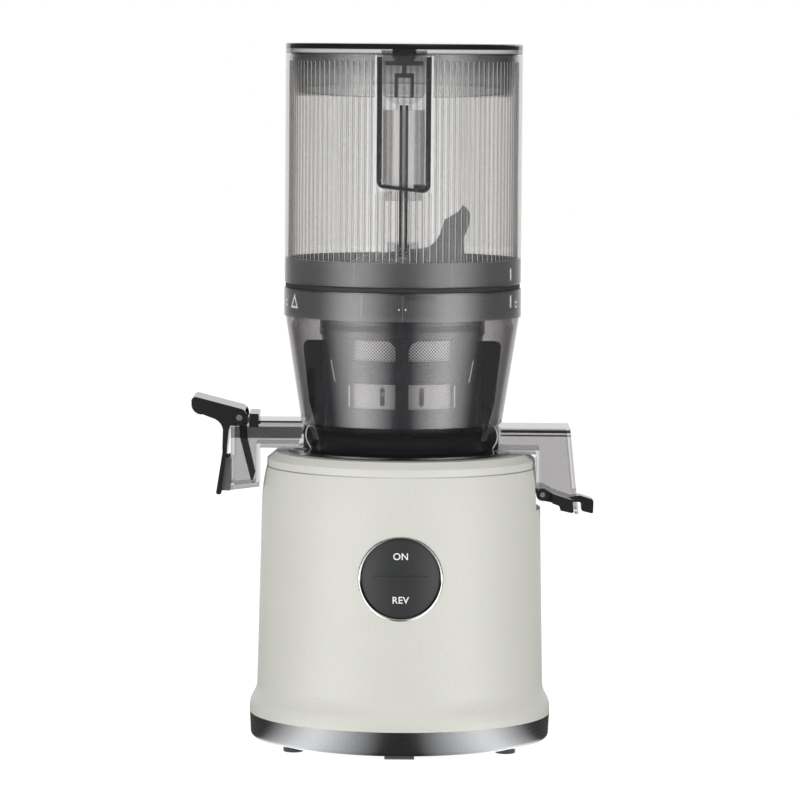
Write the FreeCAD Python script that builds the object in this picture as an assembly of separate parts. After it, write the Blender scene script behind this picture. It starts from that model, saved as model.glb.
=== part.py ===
"""Cold press juicer: a drive base, a juice drum with a strainer and an auger, and a hopper with a lid.

Millimetres. The origin is on the machine's axis at table height. +Z is up, -Y is the front
with the button, -X is the juice spout and +X is the pulp chute.
"""

import math
import os

import FreeCAD
import Part

V = FreeCAD.Vector
UP = V(0, 0, 1)
BACK = V(0, 1, 0)
RIGHT = V(1, 0, 0)
CENTRE = V(0, 0, 0)

# Fits
RUN_GAP = 0.05          # radial gap of a shaft that turns or slides in its hole
EASY_GAP = 0.3          # gap between loose pieces and round a moving lever
LARGE = 600.0           # reach of cutting blocks

# Base
FOOT_HEIGHT = 3.2
FOOT_RADIUS = 6.5
FOOT_PLUG_RADIUS = 3.0
TRIM_RADIUS = 98.2      # metallic band at the bottom
TRIM_HEIGHT = 15.6
TRIM_WALL = 3.8
TRIM_BORE = TRIM_RADIUS - TRIM_WALL
FOOT_RING = TRIM_BORE - 5.5
FOOT_TURN = math.radians(39.9)
FOOT_X, FOOT_Y = FOOT_RING * math.cos(FOOT_TURN), FOOT_RING * math.sin(FOOT_TURN)
TRIM_EDGE = 2.5
SHELL_WALL = 2.8
SKIRT_STRAIGHT = 4.2    # full-width band above the trim
SKIRT_BEND_HEIGHT = 15.0
WAIST_RADIUS = TRIM_RADIUS - 4.8     # casing just above the flared foot
SHOULDER_RADIUS = WAIST_RADIUS - 2.4  # casing where it starts to lean in
SEAM_Z = 180.4
SHOULDER_Z = SEAM_Z - 28.4
SEAM_RADIUS = SHOULDER_RADIUS - 3.3      # parting line under the top cover
PILLAR_RING = SHOULDER_RADIUS - 13.0
PILLAR_RADIUS = 5.5
PILLAR_RIB = 4.0        # thickness of the rib that ties a pillar to the wall
PILLAR_SCREW = 1.6
PILLAR_SCREW_DEPTH = 18.0
COVER_RIM_RADIUS = SEAM_RADIUS - 0.2
COVER_RIM_Z = SEAM_Z + 4.8
COVER_TOP_RADIUS = SEAM_RADIUS - 5.5
COVER_TOP_Z = SEAM_Z + 9.2
COVER_WALL = 3.2
COVER_BORE = 17.0
FLOOR_PLATE = 3.2       # bottom cover
CORD_HOLE_RADIUS = 7.0
CORD_HOLE_Z = 46.0
COVER_POST_RING = PILLAR_RING - 12.0
COVER_POST_RADIUS = 4.0
COLLAR_RADIUS = 20.2    # collar on the deck that centres the drum
COLLAR_HEIGHT = 2.4
VENT_RINGS = (34.0, 42.0, 50.0)
TAB_WIDTH = 19.0        # tab under the front edge
TAB_Y = 4.4 - TRIM_BORE
TAB_DEPTH = 5.0
TAB_CLEAR = 0.4

# Recess in the casing's right side for the pulp chute
RECESS_X = SEAM_RADIUS - 0.7
RECESS_Z = SEAM_Z - 27.0
RECESS_HALF = 24.0
RECESS_WALL = 2.6

# Control button
BUTTON_Z = SEAM_Z - 64.1
BUTTON_RADIUS = 25.2
BUTTON_THICK = 4.0
BUTTON_SINK = 1.2       # how far the disc lies under the casing's face
BUTTON_GAP = 0.5
BEZEL_WALL = 1.4
BEZEL_PROUD = 0.5
BEZEL_DEPTH = 9.0
BAR_LENGTH = 36.4
BAR_HEIGHT = 2.6
BAR_PROUD = 0.8
HOUSING_WALL = 1.5
HOUSING_DEPTH = 15.0
PIVOT_PIN_RADIUS = 1.5
BUTTON_BACK = -WAIST_RADIUS + BUTTON_SINK + BUTTON_THICK + 3.5
BUTTON_PIVOT_Y = BUTTON_BACK + 2.6
BUTTON_LUG_X = 17.5
PUSHER_LENGTH = 1.2
SWITCH_TIP_GAP = 0.95
SWITCH_FACE_Y = BUTTON_BACK + PUSHER_LENGTH + SWITCH_TIP_GAP
BOARD_Y = 23.4 - WAIST_RADIUS
BOARD_WIDTH = 66.0
BOARD_TOP = BUTTON_Z - 38.3
SWITCH_SIZE = 6.0
SWITCH_HEIGHT = 3.4
SWITCH_SPREAD = 15.0
BOARD_THICK = 1.6

# Drive
AXLE_OFFSET = 30.0      # layshaft behind the machine's axis
FIRST_MODULE, FIRST_PINION, FIRST_WHEEL = 1.0, 12, 48
SECOND_MODULE, SECOND_PINION, SECOND_WHEEL = 1.25, 12, 36
BACKLASH = 0.16
MOTOR_SHAFT_RADIUS = 4.0
MOTOR_RADIUS = 40.0
MOTOR_WALL = 2.0
MOTOR_BOTTOM, MOTOR_TOP = 38.0, SEAM_Z - 74.4
STATOR_BORE = 24.5
STATOR_BOTTOM, STATOR_TOP = MOTOR_BOTTOM + 12.0, MOTOR_TOP - 12.0
COIL_HEIGHT = 5.0
AIR_GAP = 0.7
FAN_RADIUS = 34.0
FAN_BOTTOM, FAN_TOP = 22.0, 32.0
FAN_BLADES = 9
GEARBOX_RADIUS = 33.0
GEARBOX_WALL = 3.0
GEARBOX_TOP = MOTOR_TOP + 54.0
CHASSIS_THICK = 3.0
GEARBOX_SCREWS = ((-27.0, -8.0), (27.0, -8.0), (-27.0, AXLE_OFFSET + 8.0), (27.0, AXLE_OFFSET + 8.0))
CHASSIS_RADIUS = SHOULDER_RADIUS - 7.0
LAY_PIN_RADIUS = 3.0
FIRST_WHEEL_Z = MOTOR_TOP + 7.5
FIRST_WHEEL_THICK = 8.0
SECOND_WHEEL_Z = FIRST_WHEEL_Z + 14.5
SECOND_WHEEL_THICK = 16.0
SHAFT_RADIUS = 8.0
SHAFT_HEX = 14.0        # across flats
SHAFT_HEX_Z = COVER_TOP_Z + 6.4
SHAFT_TOP = SHAFT_HEX_Z + 48.0
BEARING_RADIUS = 14.0
BEARING_WIDTH = 8.0

# Drum
DRUM_SEAT_GAP = 0.3
DRUM_WALL = 2.6
DRUM_FOOT_RADIUS = COVER_TOP_RADIUS - 8.2
DRUM_FOOT_EDGE = 1.8
DRUM_WAIST_RADIUS = DRUM_FOOT_RADIUS - 14.7
DRUM_WAIST_Z = COVER_TOP_Z + 8.8
DRUM_BOWL_RADIUS = DRUM_WAIST_RADIUS + 6.3
DRUM_BOWL_Z = DRUM_WAIST_Z + 11.1
DRUM_RIM_RADIUS = DRUM_BOWL_RADIUS + 10.7
RING_RADIUS = DRUM_RIM_RADIUS + 0.9
RING_BOTTOM, RING_TOP = DRUM_BOWL_Z + 69.1, DRUM_BOWL_Z + 87.3
RING_BORE = RING_RADIUS - 3.0
DRUM_FLOOR = DRUM_WAIST_Z + 3.1
TUBE_RADIUS = 14.5
TUBE_BORE = 11.6
TUBE_TOP = DRUM_FLOOR + 20.5
SPOUT_TOP = DRUM_FLOOR + 8.7
SPOUT_DROP_X = SEAM_RADIUS + 4.5
SPOUT_END = SPOUT_DROP_X + 18.8
SPOUT_HALF = 17.0
SPOUT_BOTTOM = SPOUT_TOP - 44.2
DUCT_WALL = 2.4
DUCT_FLOOR = SPOUT_TOP - 17.6
MOUTH_TOP = SPOUT_TOP - 25.2
MOUTH_BOTTOM = MOUTH_TOP - 16.2
CHUTE_TOP = DRUM_FLOOR + 5.3
CHUTE_HALF = 22.0
CHUTE_DROP_X = RECESS_X + 0.6
CHUTE_TOP_END = CHUTE_DROP_X + 21.8
CHUTE_LOW_END = CHUTE_DROP_X + 27.6
CHUTE_LOW_Z = RECESS_Z - 2.0
CHUTE_LIP_Z = RECESS_Z + 12.1
CHUTE_INNER_X = 25.4

# Juice lever
LEVER_PIVOT_X, LEVER_PIVOT_Z = 5.6 - SPOUT_END, SPOUT_TOP + 2.2
LEVER_PIN_RADIUS = 1.5
LEVER_HEAD_RADIUS = 2.0
LEVER_HUB_RADIUS = 5.2
LEVER_BOSS_RADIUS = 4.2
LEVER_ARM = 3.0

# Pulp lever
PULP_PIVOT_X, PULP_PIVOT_Z = CHUTE_DROP_X + 4.2, CHUTE_LIP_Z - 1.9
PULP_PIN_RADIUS = 1.6
PULP_HUB = 4.0
HOOK_HALF = 7.0

# Strainer
STRAINER_TOP_RADIUS = DRUM_WAIST_RADIUS - 6.7
STRAINER_FOOT_RADIUS = STRAINER_TOP_RADIUS - 1.0
STRAINER_WALL = 2.2
STRAINER_SEAT_GAP = 0.2
STRAINER_COLLAR_Z = RING_BOTTOM - 13.1
STRAINER_FLANGE_RADIUS = RING_BORE - 0.6
STRAINER_FLANGE_THICK = 2.2
STRAINER_BAND_PROUD = 1.0
BAND_BOTTOM, BAND_TOP = DRUM_FLOOR + 35.5, DRUM_FLOOR + 49.8
BAND_HALF_ANGLE = 65.0
WINDOW_NEAR, WINDOW_FAR = 4.2, 33.0     # edges of the windows each side of the front rib
LOW_WINDOW = (BAND_BOTTOM - 16.4, BAND_BOTTOM - 0.2)
HIGH_WINDOW = (BAND_TOP + 0.2, BAND_TOP + 13.5)
WINDOW_ROUND = 7.0
MESH_SEAT = STRAINER_FOOT_RADIUS - 2.0
MESH_THICK = 0.5
FIN_THICK = 3.0
RINGS_ON_FOOT = (DRUM_FLOOR + 7.5, DRUM_FLOOR + 11.0)

# Auger
AUGER_FOOT_Z = DRUM_FLOOR + 2.5
FLIGHT_RADIUS = MESH_SEAT - 1.4
AUGER_FOOT_CORE = FLIGHT_RADIUS - 9.2
AUGER_NECK_Z = RING_TOP + 1.2
AUGER_NECK_CORE = AUGER_FOOT_CORE - 19.0
FLIGHT_THICK = 5.0
FLIGHT_PITCH = 32.0
FLIGHT_TURNS = 2.5
AUGER_HOLLOW = 18.5
SOCKET_RADIUS = 13.0
SOCKET_BOTTOM, SOCKET_TOP = TUBE_TOP + 1.0, TUBE_TOP + 27.0
AUGER_CAP_Z = AUGER_NECK_Z + 14.0
AUGER_CAP_RADIUS = FLIGHT_RADIUS - 5.2
HORN_THICK = 9.0

# Hopper
HOPPER_RING_BOTTOM = RING_TOP + 2.8
HOPPER_FOOT = HOPPER_RING_BOTTOM + 16.4
HOPPER_HEIGHT = 131.6
HOPPER_RIM = HOPPER_FOOT + HOPPER_HEIGHT
HOPPER_RADIUS = RING_RADIUS - 0.2
HOPPER_VALLEY = HOPPER_RADIUS - 2.2    # radius at the bottom of a flute
HOPPER_CREST = HOPPER_RADIUS - 3.1     # radius at the crest of a rib
RIB_COUNT = 108
RIB_TOP = HOPPER_RIM - 3.6
HOPPER_SKIRT_BOTTOM = RING_BOTTOM + 5.6
HOPPER_SKIRT_RADIUS = RING_BORE - EASY_GAP
HOPPER_SKIRT_WALL = 2.6
FUNNEL_RADIUS = HOPPER_RADIUS - 26.0
FUNNEL_Z = HOPPER_RING_BOTTOM + 3.9
FUNNEL_WALL = 2.6
LIP_HEIGHT = 3.5
LUG_PROUD = 1.4
LUG_BOTTOM, LUG_TOP = HOPPER_SKIRT_BOTTOM + 2.0, HOPPER_SKIRT_BOTTOM + 5.4
LUG_REACH = HOPPER_SKIRT_RADIUS + LUG_PROUD
LUG_HALF_ANGLE = 7.0
LUG_COUNT = 3
LUG_FIRST = 90.0
TWIST_ANGLE = 30.0
WINDOW_HALF = 18.6      # smooth panel over the interlock channel
WINDOW_SINK = 0.5
WINDOW_FOOT = HOPPER_RIM - 87.1
FRAME_OUTER = 17.2
FRAME_WALL = 2.3
FRAME_BACK = HOPPER_RADIUS - 33.0
FRAME_BACK_WALL = 1.8
FRAME_SLOPE = 2.6
CHANNEL_FOOT = WINDOW_FOOT + 1.5

# Interlock rod
ROD_Y = 17.4 - HOPPER_RADIUS
ROD_RADIUS = 2.8
ROD_BOTTOM, ROD_TOP = HOPPER_FOOT + 6.8, HOPPER_RIM - 31.6
ROD_FLANGE_RADIUS = 5.0
ROD_FLANGE = (ROD_BOTTOM + 3.0, ROD_BOTTOM + 4.4)
GUIDE_TUBE_RADIUS = 13.4
GUIDE_TUBE_WALL = 1.6
GUIDE_TUBE_TOP = ROD_TOP - 3.0
COLLAR_HALF = 11.9
COLLAR_BOTTOM = CHANNEL_FOOT - 6.6
CUP_RADIUS = 10.0
CUP_BORE = 5.4
CUP_BOTTOM, CUP_TOP = HOPPER_FOOT + 1.2, HOPPER_FOOT + 12.8
CUP_WALL = 1.4
COLUMN_HALF = 16.2
COLUMN_WALL = 1.8
COLUMN_BACK = FRAME_BACK + 4.2
SPRING_RADIUS = 4.2
SPRING_WIRE = 0.4
SPRING_TURNS = 3

# Lid
LID_RADIUS = HOPPER_RADIUS
LID_BOTTOM = HOPPER_RIM + 0.4
LID_SPLIT = LID_BOTTOM + 3.4
LID_TOP = LID_SPLIT + 3.6
LID_CROWN = 1.0
LID_PLATE = 2.4
LID_SKIRT_WALL = 1.8
LID_SKIRT_BOTTOM = HOPPER_RIM - 26.6
LID_SKIRT_TOP_RADIUS = HOPPER_CREST - 0.5
LID_SKIRT_FOOT_RADIUS = LID_SKIRT_TOP_RADIUS - 2.8
HINGE_Y, HINGE_Z = HOPPER_RADIUS + 5.2, LID_SPLIT - 2.8
HINGE_RADIUS = 4.0
HINGE_PIN_RADIUS = 1.8
HINGE_HALF = 8.0
HINGE_EAR = 7.0
KEY_HALF = 13.5
KEY_BOTTOM = ROD_TOP + 0.8
KEY_ROUND = 10.0
KEY_WALL = 1.6
KEY_FRONT, KEY_BACK = ROD_Y - 8.8, ROD_Y + 2.6
CATCH_RADIUS = 1.5
CATCH_Z = HOPPER_RIM - 5.0


def tube(outer, inner, bottom, top):
    """A round sleeve on the machine's axis."""
    sleeve = Part.makeCylinder(outer, top - bottom, V(0, 0, bottom))
    return sleeve.cut(Part.makeCylinder(inner, top - bottom, V(0, 0, bottom)))


def disc(radius, bottom, top, x=0.0, y=0.0):
    return Part.makeCylinder(radius, top - bottom, V(x, y, bottom))


def block(x0, x1, y0, y1, z0, z1):
    return Part.makeBox(x1 - x0, y1 - y0, z1 - z0, V(x0, y0, z0))


def rod_along_y(radius, x, z, y0, y1):
    return Part.makeCylinder(radius, y1 - y0, V(x, y0, z), BACK)


def rod_along_x(radius, y, z, x0, x1):
    return Part.makeCylinder(radius, x1 - x0, V(x0, y, z), RIGHT)


def outline(start, steps):
    """A closed wire in the XZ plane. A step is a point, or a pair: a point on the arc and its end."""
    edges = []
    here = V(start[0], 0, start[1])
    for step in steps + [start]:
        curved = isinstance(step[0], tuple)
        end = step[1] if curved else step
        there = V(end[0], 0, end[1])
        if curved:
            middle = V(step[0][0], 0, step[0][1])
            edges.append(Part.Arc(here, middle, there).toShape())
        elif here.distanceToPoint(there) > 1e-6:
            edges.append(Part.makeLine(here, there))
        here = there
    return Part.Wire(edges)


def turned(start, steps):
    """The solid that an outline of radius and height makes round the axis."""
    return Part.Face(outline(start, steps)).revolve(CENTRE, UP, 360)


def slab(start, steps, half, middle=0.0):
    """An outline seen from the front, given a thickness of 2 * half along Y."""
    face = Part.Face(outline(start, steps))
    face.translate(V(0, middle - half, 0))
    return face.extrude(V(0, 2 * half, 0))


def placed(x, z, start, steps):
    """An outline drawn from a point of its own, moved to x and z."""
    def moved(point):
        return tuple(moved(p) for p in point) if isinstance(point[0], tuple) else (point[0] + x, point[1] + z)
    return moved(start), [moved(step) for step in steps]


def wedge(half_angle, direction, bottom, top, reach=LARGE):
    """A pie slice round the axis, centred on a direction in degrees."""
    a, b = (math.radians(direction + s * half_angle) for s in (-1, 1))
    points = [V(0, 0, bottom)]
    points += [V(reach * math.cos(t), reach * math.sin(t), bottom) for t in (a, (a + b) / 2, b)]
    face = Part.Face(Part.makePolygon(points + points[:1]))
    return face.extrude(V(0, 0, top - bottom))


def around(shape, count, first=0.0):
    """Copies of a shape, evenly spaced round the axis."""
    copies = []
    for i in range(count):
        copy = shape.copy()
        copy.rotate(CENTRE, UP, first + 360.0 * i / count)
        copies.append(copy)
    return copies


def mirrored(shape, normal):
    return shape.mirror(CENTRE, normal)


def at_corners(x, y):
    return [(sx * x, sy * y) for sx in (-1, 1) for sy in (-1, 1)]


def hexagon(across, bottom, top):
    corner = across / math.sqrt(3)
    points = [V(corner * math.cos(math.radians(60 * i)), corner * math.sin(math.radians(60 * i)), bottom)
              for i in range(7)]
    return Part.Face(Part.makePolygon(points)).extrude(V(0, 0, top - bottom))


def gear(module, teeth, bottom, top, half_pitch_turn=False):
    """A spur gear with involute flanks, a tooth on +Y, or a gap there if it is turned half a pitch."""
    pitch = module * teeth / 2
    base = pitch * math.cos(math.radians(20))
    tip, root = pitch + 0.95 * module, pitch - 1.25 * module
    involute = lambda angle: math.tan(angle) - angle
    half = (math.pi * module / 2 - BACKLASH) / 2 / pitch
    flank = []
    for i in range(5):
        radius = max(base, root) + (tip - max(base, root)) * i / 4
        pressure = math.acos(min(1.0, base / radius))
        flank.append((radius, half + involute(math.radians(20)) - involute(pressure)))
    flank.insert(0, (root, flank[0][1]))
    shift = math.pi / 2 + (math.pi / teeth if half_pitch_turn else 0.0)
    points = []
    for tooth in range(teeth):
        middle = shift + 2 * math.pi * tooth / teeth
        sides = [(r, middle - a) for r, a in flank] + [(r, middle + a) for r, a in reversed(flank)]
        points += [V(r * math.cos(t), r * math.sin(t), bottom) for r, t in sides]
    return Part.Face(Part.makePolygon(points + points[:1])).extrude(V(0, 0, top - bottom))


def shell_outline(inset):
    """The casing's outline from the trim to the parting line, moved inwards by inset."""
    foot = FOOT_HEIGHT + TRIM_HEIGHT
    bend = foot + SKIRT_STRAIGHT
    step = (TRIM_RADIUS - WAIST_RADIUS) / 4
    rise = SKIRT_BEND_HEIGHT / 4
    bulge = 0.62 * step
    waist = (WAIST_RADIUS - inset, bend + 4 * rise)
    lean_z = (SHOULDER_Z + SEAM_Z) / 2
    lean = (SHOULDER_RADIUS + SEAM_RADIUS) / 2 + 0.85 - inset
    return (TRIM_RADIUS - inset, foot), [
        (TRIM_RADIUS - inset, bend),
        ((TRIM_RADIUS - inset - bulge * 0.9, bend + rise), (TRIM_RADIUS - inset - 2 * step, bend + 2 * rise)),
        ((WAIST_RADIUS - inset + bulge * 0.9, bend + 3 * rise), waist),
        (SHOULDER_RADIUS - inset, SHOULDER_Z),
        ((lean, lean_z), (SEAM_RADIUS - inset, SEAM_Z)),
    ]


def casing_solid(inset):
    """The casing as a full solid, closed to the axis."""
    start, steps = shell_outline(inset)
    return turned(start, steps + [(0, SEAM_Z), (0, start[1])])


def chute_recess(clearance=0.0):
    """The space cut in the casing's right side for the pulp chute."""
    half = RECESS_HALF - clearance
    return block(RECESS_X + clearance, LARGE, -half, half, RECESS_Z + clearance, LARGE)


def base_shell():
    foot = FOOT_HEIGHT + TRIM_HEIGHT
    low = FOOT_HEIGHT + FLOOR_PLATE
    lip = tube(TRIM_BORE - 0.2, TRIM_BORE - 0.2 - SHELL_WALL, low, foot + 4)
    start, steps = shell_outline(SHELL_WALL)
    cavity = turned(start, steps + [(0, SEAM_Z), (0, start[1])])
    cavity = cavity.cut(tube(LARGE, TRIM_BORE - 0.2 - SHELL_WALL, foot - 1, foot + 4))
    shell = casing_solid(0).fuse(lip).cut(cavity)
    pillar = disc(PILLAR_RADIUS, low, GEARBOX_TOP, PILLAR_RING)
    rib = block(PILLAR_RING, LARGE, -PILLAR_RIB / 2, PILLAR_RIB / 2, low, GEARBOX_TOP)
    pillar = pillar.fuse(rib.common(casing_solid(SHELL_WALL / 2)))
    for hole_z in (low, GEARBOX_TOP - PILLAR_SCREW_DEPTH):
        pillar = pillar.cut(disc(PILLAR_SCREW + RUN_GAP, hole_z, hole_z + PILLAR_SCREW_DEPTH, PILLAR_RING))
    shell = shell.fuse(around(pillar, 4, 45.0))
    patch = block(RECESS_X - RECESS_WALL, LARGE, -RECESS_HALF - RECESS_WALL, RECESS_HALF + RECESS_WALL,
                  RECESS_Z - RECESS_WALL, SEAM_Z)
    shell = shell.fuse(patch.common(casing_solid(SHELL_WALL / 2)))
    shell = shell.cut(chute_recess())
    button_hole = rod_along_y(BUTTON_RADIUS + BUTTON_GAP + BEZEL_WALL, 0, BUTTON_Z, -LARGE, 0)
    shell = shell.cut(button_hole)
    return shell.cut(rod_along_y(CORD_HOLE_RADIUS, 0, CORD_HOLE_Z, 0, LARGE))


def cord_gland():
    """The bush in the back of the casing that the mains lead comes through."""
    face = WAIST_RADIUS
    body = rod_along_y(CORD_HOLE_RADIUS, 0, CORD_HOLE_Z, face - 10, face + 2)
    flange = rod_along_y(CORD_HOLE_RADIUS + 2, 0, CORD_HOLE_Z, face - 0.2, face + 2)
    nut = rod_along_y(CORD_HOLE_RADIUS + 2, 0, CORD_HOLE_Z, face - 9, face - 6)
    return body.fuse([flange.cut(casing_solid(0)), nut]).cut(rod_along_y(3.4, 0, CORD_HOLE_Z, face - 20, LARGE))


def base_trim():
    top = FOOT_HEIGHT + TRIM_HEIGHT
    inner = TRIM_BORE
    edge = TRIM_EDGE
    low = TRIM_RADIUS - 0.7
    return turned((inner, FOOT_HEIGHT), [
        (low - edge, FOOT_HEIGHT),
        ((low - edge * 0.3, FOOT_HEIGHT + edge * 0.3), (low, FOOT_HEIGHT + edge)),
        (TRIM_RADIUS, top),
        (inner, top),
    ])


def bottom_cover():
    radius = TRIM_BORE - 0.2
    top = FOOT_HEIGHT + FLOOR_PLATE
    plate = disc(radius, FOOT_HEIGHT, top)
    tab = block(-TAB_WIDTH / 2, TAB_WIDTH / 2, TAB_Y, TAB_Y + TAB_DEPTH, TAB_CLEAR, FOOT_HEIGHT)
    guides = []
    for x in (-BOARD_WIDTH / 2, BOARD_WIDTH / 2):
        guide = block(x - 3, x + 3, BOARD_Y - 3, BOARD_Y + BOARD_THICK + 3, top, top + 9)
        guides.append(guide.cut(block(-BOARD_WIDTH / 2, BOARD_WIDTH / 2, BOARD_Y, BOARD_Y + BOARD_THICK,
                                      top + 2.5, LARGE)))
    plate = plate.fuse([tab] + guides)
    cuts = []
    for radius in VENT_RINGS:
        slot = tube(radius + 2, radius - 2, FOOT_HEIGHT, top).common(wedge(16, 0, FOOT_HEIGHT, top))
        cuts += around(slot, 6, 30.0)
    cuts += [disc(FOOT_PLUG_RADIUS, FOOT_HEIGHT, top, x, y) for x, y in at_corners(FOOT_X, FOOT_Y)]
    cuts += around(disc(PILLAR_SCREW + RUN_GAP, FOOT_HEIGHT, top, PILLAR_RING), 4, 45.0)
    cuts += around(disc(PILLAR_SCREW * 2 + RUN_GAP, FOOT_HEIGHT, FOOT_HEIGHT + 1.6, PILLAR_RING), 4, 45.0)
    return plate.cut(cuts)


def rubber_feet():
    feet = []
    for x, y in at_corners(FOOT_X, FOOT_Y):
        pad = disc(FOOT_RADIUS, 0, FOOT_HEIGHT, x, y)
        bottom = [e for e in pad.Edges if e.BoundBox.ZMax < 0.01]
        plug = disc(FOOT_PLUG_RADIUS, FOOT_HEIGHT, FOOT_HEIGHT + FLOOR_PLATE, x, y)
        feet.append(pad.makeFillet(0.8, bottom).fuse(plug))
    return feet


def screw(radius, head_radius, head_height, length, x, y, head_z, upwards):
    """A plain screw with a cross recess, its head's outer face at head_z."""
    sign = 1 if upwards else -1
    shank_base = head_z if upwards else head_z - head_height - length
    head_base = head_z if upwards else head_z - head_height
    body = disc(head_radius, head_base, head_base + head_height, x, y)
    body = body.fuse(disc(radius, shank_base, shank_base + length + head_height, x, y))
    for w, d in ((head_radius * 0.6, 0.35), (0.35, head_radius * 0.6)):
        low, high = sorted((head_z, head_z + sign * head_height * 0.5))
        body = body.cut(block(x - w, x + w, y - d, y + d, low, high))
    return body


def bottom_screws():
    length = FLOOR_PLATE + PILLAR_SCREW_DEPTH * 0.6
    one = screw(PILLAR_SCREW, PILLAR_SCREW * 2, 1.5, length, PILLAR_RING, 0, FOOT_HEIGHT + 0.1, True)
    return around(one, 4, 45.0)


def chassis_screws():
    top = GEARBOX_TOP + CHASSIS_THICK + 2.0
    one = screw(PILLAR_SCREW, PILLAR_SCREW * 2, 2.0, 14.0, PILLAR_RING, 0, top, False)
    return around(one, 4, 45.0)


def base_top_cover():
    """The casing's top: a chamfered rim and the deck that the drum stands on."""
    deck = COVER_TOP_Z - COVER_WALL
    inner = COVER_RIM_RADIUS - COVER_WALL
    lip_radius = SEAM_RADIUS - SHELL_WALL - EASY_GAP
    cover = turned((SEAM_RADIUS, SEAM_Z), [
        (COVER_RIM_RADIUS, COVER_RIM_Z),
        (COVER_TOP_RADIUS, COVER_TOP_Z),
        (COLLAR_RADIUS, COVER_TOP_Z),
        (COLLAR_RADIUS, COVER_TOP_Z + COLLAR_HEIGHT),
        (COVER_BORE, COVER_TOP_Z + COLLAR_HEIGHT),
        (COVER_BORE, deck - 6),
        (COVER_BORE + COVER_WALL, deck - 6),
        (COVER_BORE + COVER_WALL, deck),
        (COVER_TOP_RADIUS - 2, deck),
        (inner - 1.5, COVER_RIM_Z - 1),
        (lip_radius - 2, SEAM_Z),
        (lip_radius - 2, SEAM_Z - 5),
        (lip_radius, SEAM_Z - 5),
        (lip_radius, SEAM_Z),
    ])
    wall = block(RECESS_X - RECESS_WALL, LARGE, -RECESS_HALF - RECESS_WALL, RECESS_HALF + RECESS_WALL,
                 SEAM_Z, COVER_TOP_Z)
    solid_cover = turned((SEAM_RADIUS, SEAM_Z), [(COVER_RIM_RADIUS, COVER_RIM_Z), (COVER_TOP_RADIUS, COVER_TOP_Z),
                                                (0, COVER_TOP_Z), (0, SEAM_Z)])
    notch = block(RECESS_X - RECESS_WALL - EASY_GAP, LARGE, -RECESS_HALF - RECESS_WALL - EASY_GAP,
                  RECESS_HALF + RECESS_WALL + EASY_GAP, SEAM_Z - LARGE, SEAM_Z)
    cover = cover.fuse(wall.common(solid_cover)).cut(chute_recess()).cut(notch)
    post = disc(COVER_POST_RADIUS, GEARBOX_TOP + CHASSIS_THICK, deck + 0.5, COVER_POST_RING)
    return cover.fuse(around(post, 4, 60.0))


def chassis_plate():
    """The steel plate on the casing's pillars that the gearbox hangs from."""
    bottom = GEARBOX_TOP
    plate = disc(CHASSIS_RADIUS, bottom, bottom + CHASSIS_THICK)
    plate = plate.fuse(disc(BEARING_RADIUS + 3, bottom, bottom + BEARING_WIDTH + 1))
    plate = plate.cut(disc(BEARING_RADIUS, bottom, LARGE))
    window = tube(CHASSIS_RADIUS - 14, CHASSIS_RADIUS - 30, bottom, bottom + CHASSIS_THICK)
    window = window.common(wedge(12, 0, bottom, bottom + CHASSIS_THICK))
    cuts = around(window, 4, 0.0)
    cuts += around(disc(PILLAR_SCREW + RUN_GAP, bottom, bottom + CHASSIS_THICK, PILLAR_RING), 4, 45.0)
    cuts += [disc(PILLAR_SCREW + RUN_GAP, bottom, bottom + CHASSIS_THICK, x, y) for x, y in GEARBOX_SCREWS]
    cuts.append(chute_recess(-RECESS_WALL - EASY_GAP))
    return plate.cut(cuts)


def gearbox_plan(grow, bottom, top):
    """The gearbox's rounded plan: a disc on each axle and the straight sides between them."""
    radius = GEARBOX_RADIUS + grow
    plan = disc(radius, bottom, top).fuse(disc(radius, bottom, top, 0, AXLE_OFFSET))
    return plan.fuse(block(-radius, radius, 0, AXLE_OFFSET, bottom, top))


def gearbox_case():
    bottom = MOTOR_TOP
    lid = GEARBOX_TOP - GEARBOX_WALL
    case = gearbox_plan(0, bottom, lid).cut(gearbox_plan(-GEARBOX_WALL, bottom + GEARBOX_WALL, lid))
    corners = [disc(4.0, bottom, lid, x, y) for x, y in GEARBOX_SCREWS]
    case = case.fuse(corners)
    holes = [disc(PILLAR_SCREW + RUN_GAP, lid - 12, lid, x, y) for x, y in GEARBOX_SCREWS]
    wheels = [disc(FIRST_MODULE * FIRST_WHEEL / 2 + 2, bottom + GEARBOX_WALL, lid, 0, AXLE_OFFSET),
              disc(SECOND_MODULE * SECOND_WHEEL / 2 + 2.4, bottom + GEARBOX_WALL, lid)]
    holes.append(disc(MOTOR_SHAFT_RADIUS + 1.0, bottom, bottom + GEARBOX_WALL))
    holes.append(disc(LAY_PIN_RADIUS, bottom, bottom + GEARBOX_WALL, 0, AXLE_OFFSET))
    return case.cut(holes + wheels)


def gearbox_lid():
    bottom = GEARBOX_TOP - GEARBOX_WALL
    lid = gearbox_plan(0, bottom, GEARBOX_TOP)
    cuts = [disc(PILLAR_SCREW + RUN_GAP, bottom, GEARBOX_TOP, x, y) for x, y in GEARBOX_SCREWS]
    cuts.append(disc(LAY_PIN_RADIUS, bottom, GEARBOX_TOP, 0, AXLE_OFFSET))
    cuts.append(disc(BEARING_RADIUS, bottom, GEARBOX_TOP))
    return lid.cut(cuts)


def gearbox_screws():
    top = GEARBOX_TOP + CHASSIS_THICK + 2.0
    length = CHASSIS_THICK + GEARBOX_WALL + 9.0
    return [screw(PILLAR_SCREW, PILLAR_SCREW * 2, 2.0, length, x, y, top, False) for x, y in GEARBOX_SCREWS]


def lay_pin():
    return disc(LAY_PIN_RADIUS, MOTOR_TOP, GEARBOX_TOP, 0, AXLE_OFFSET)


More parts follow.
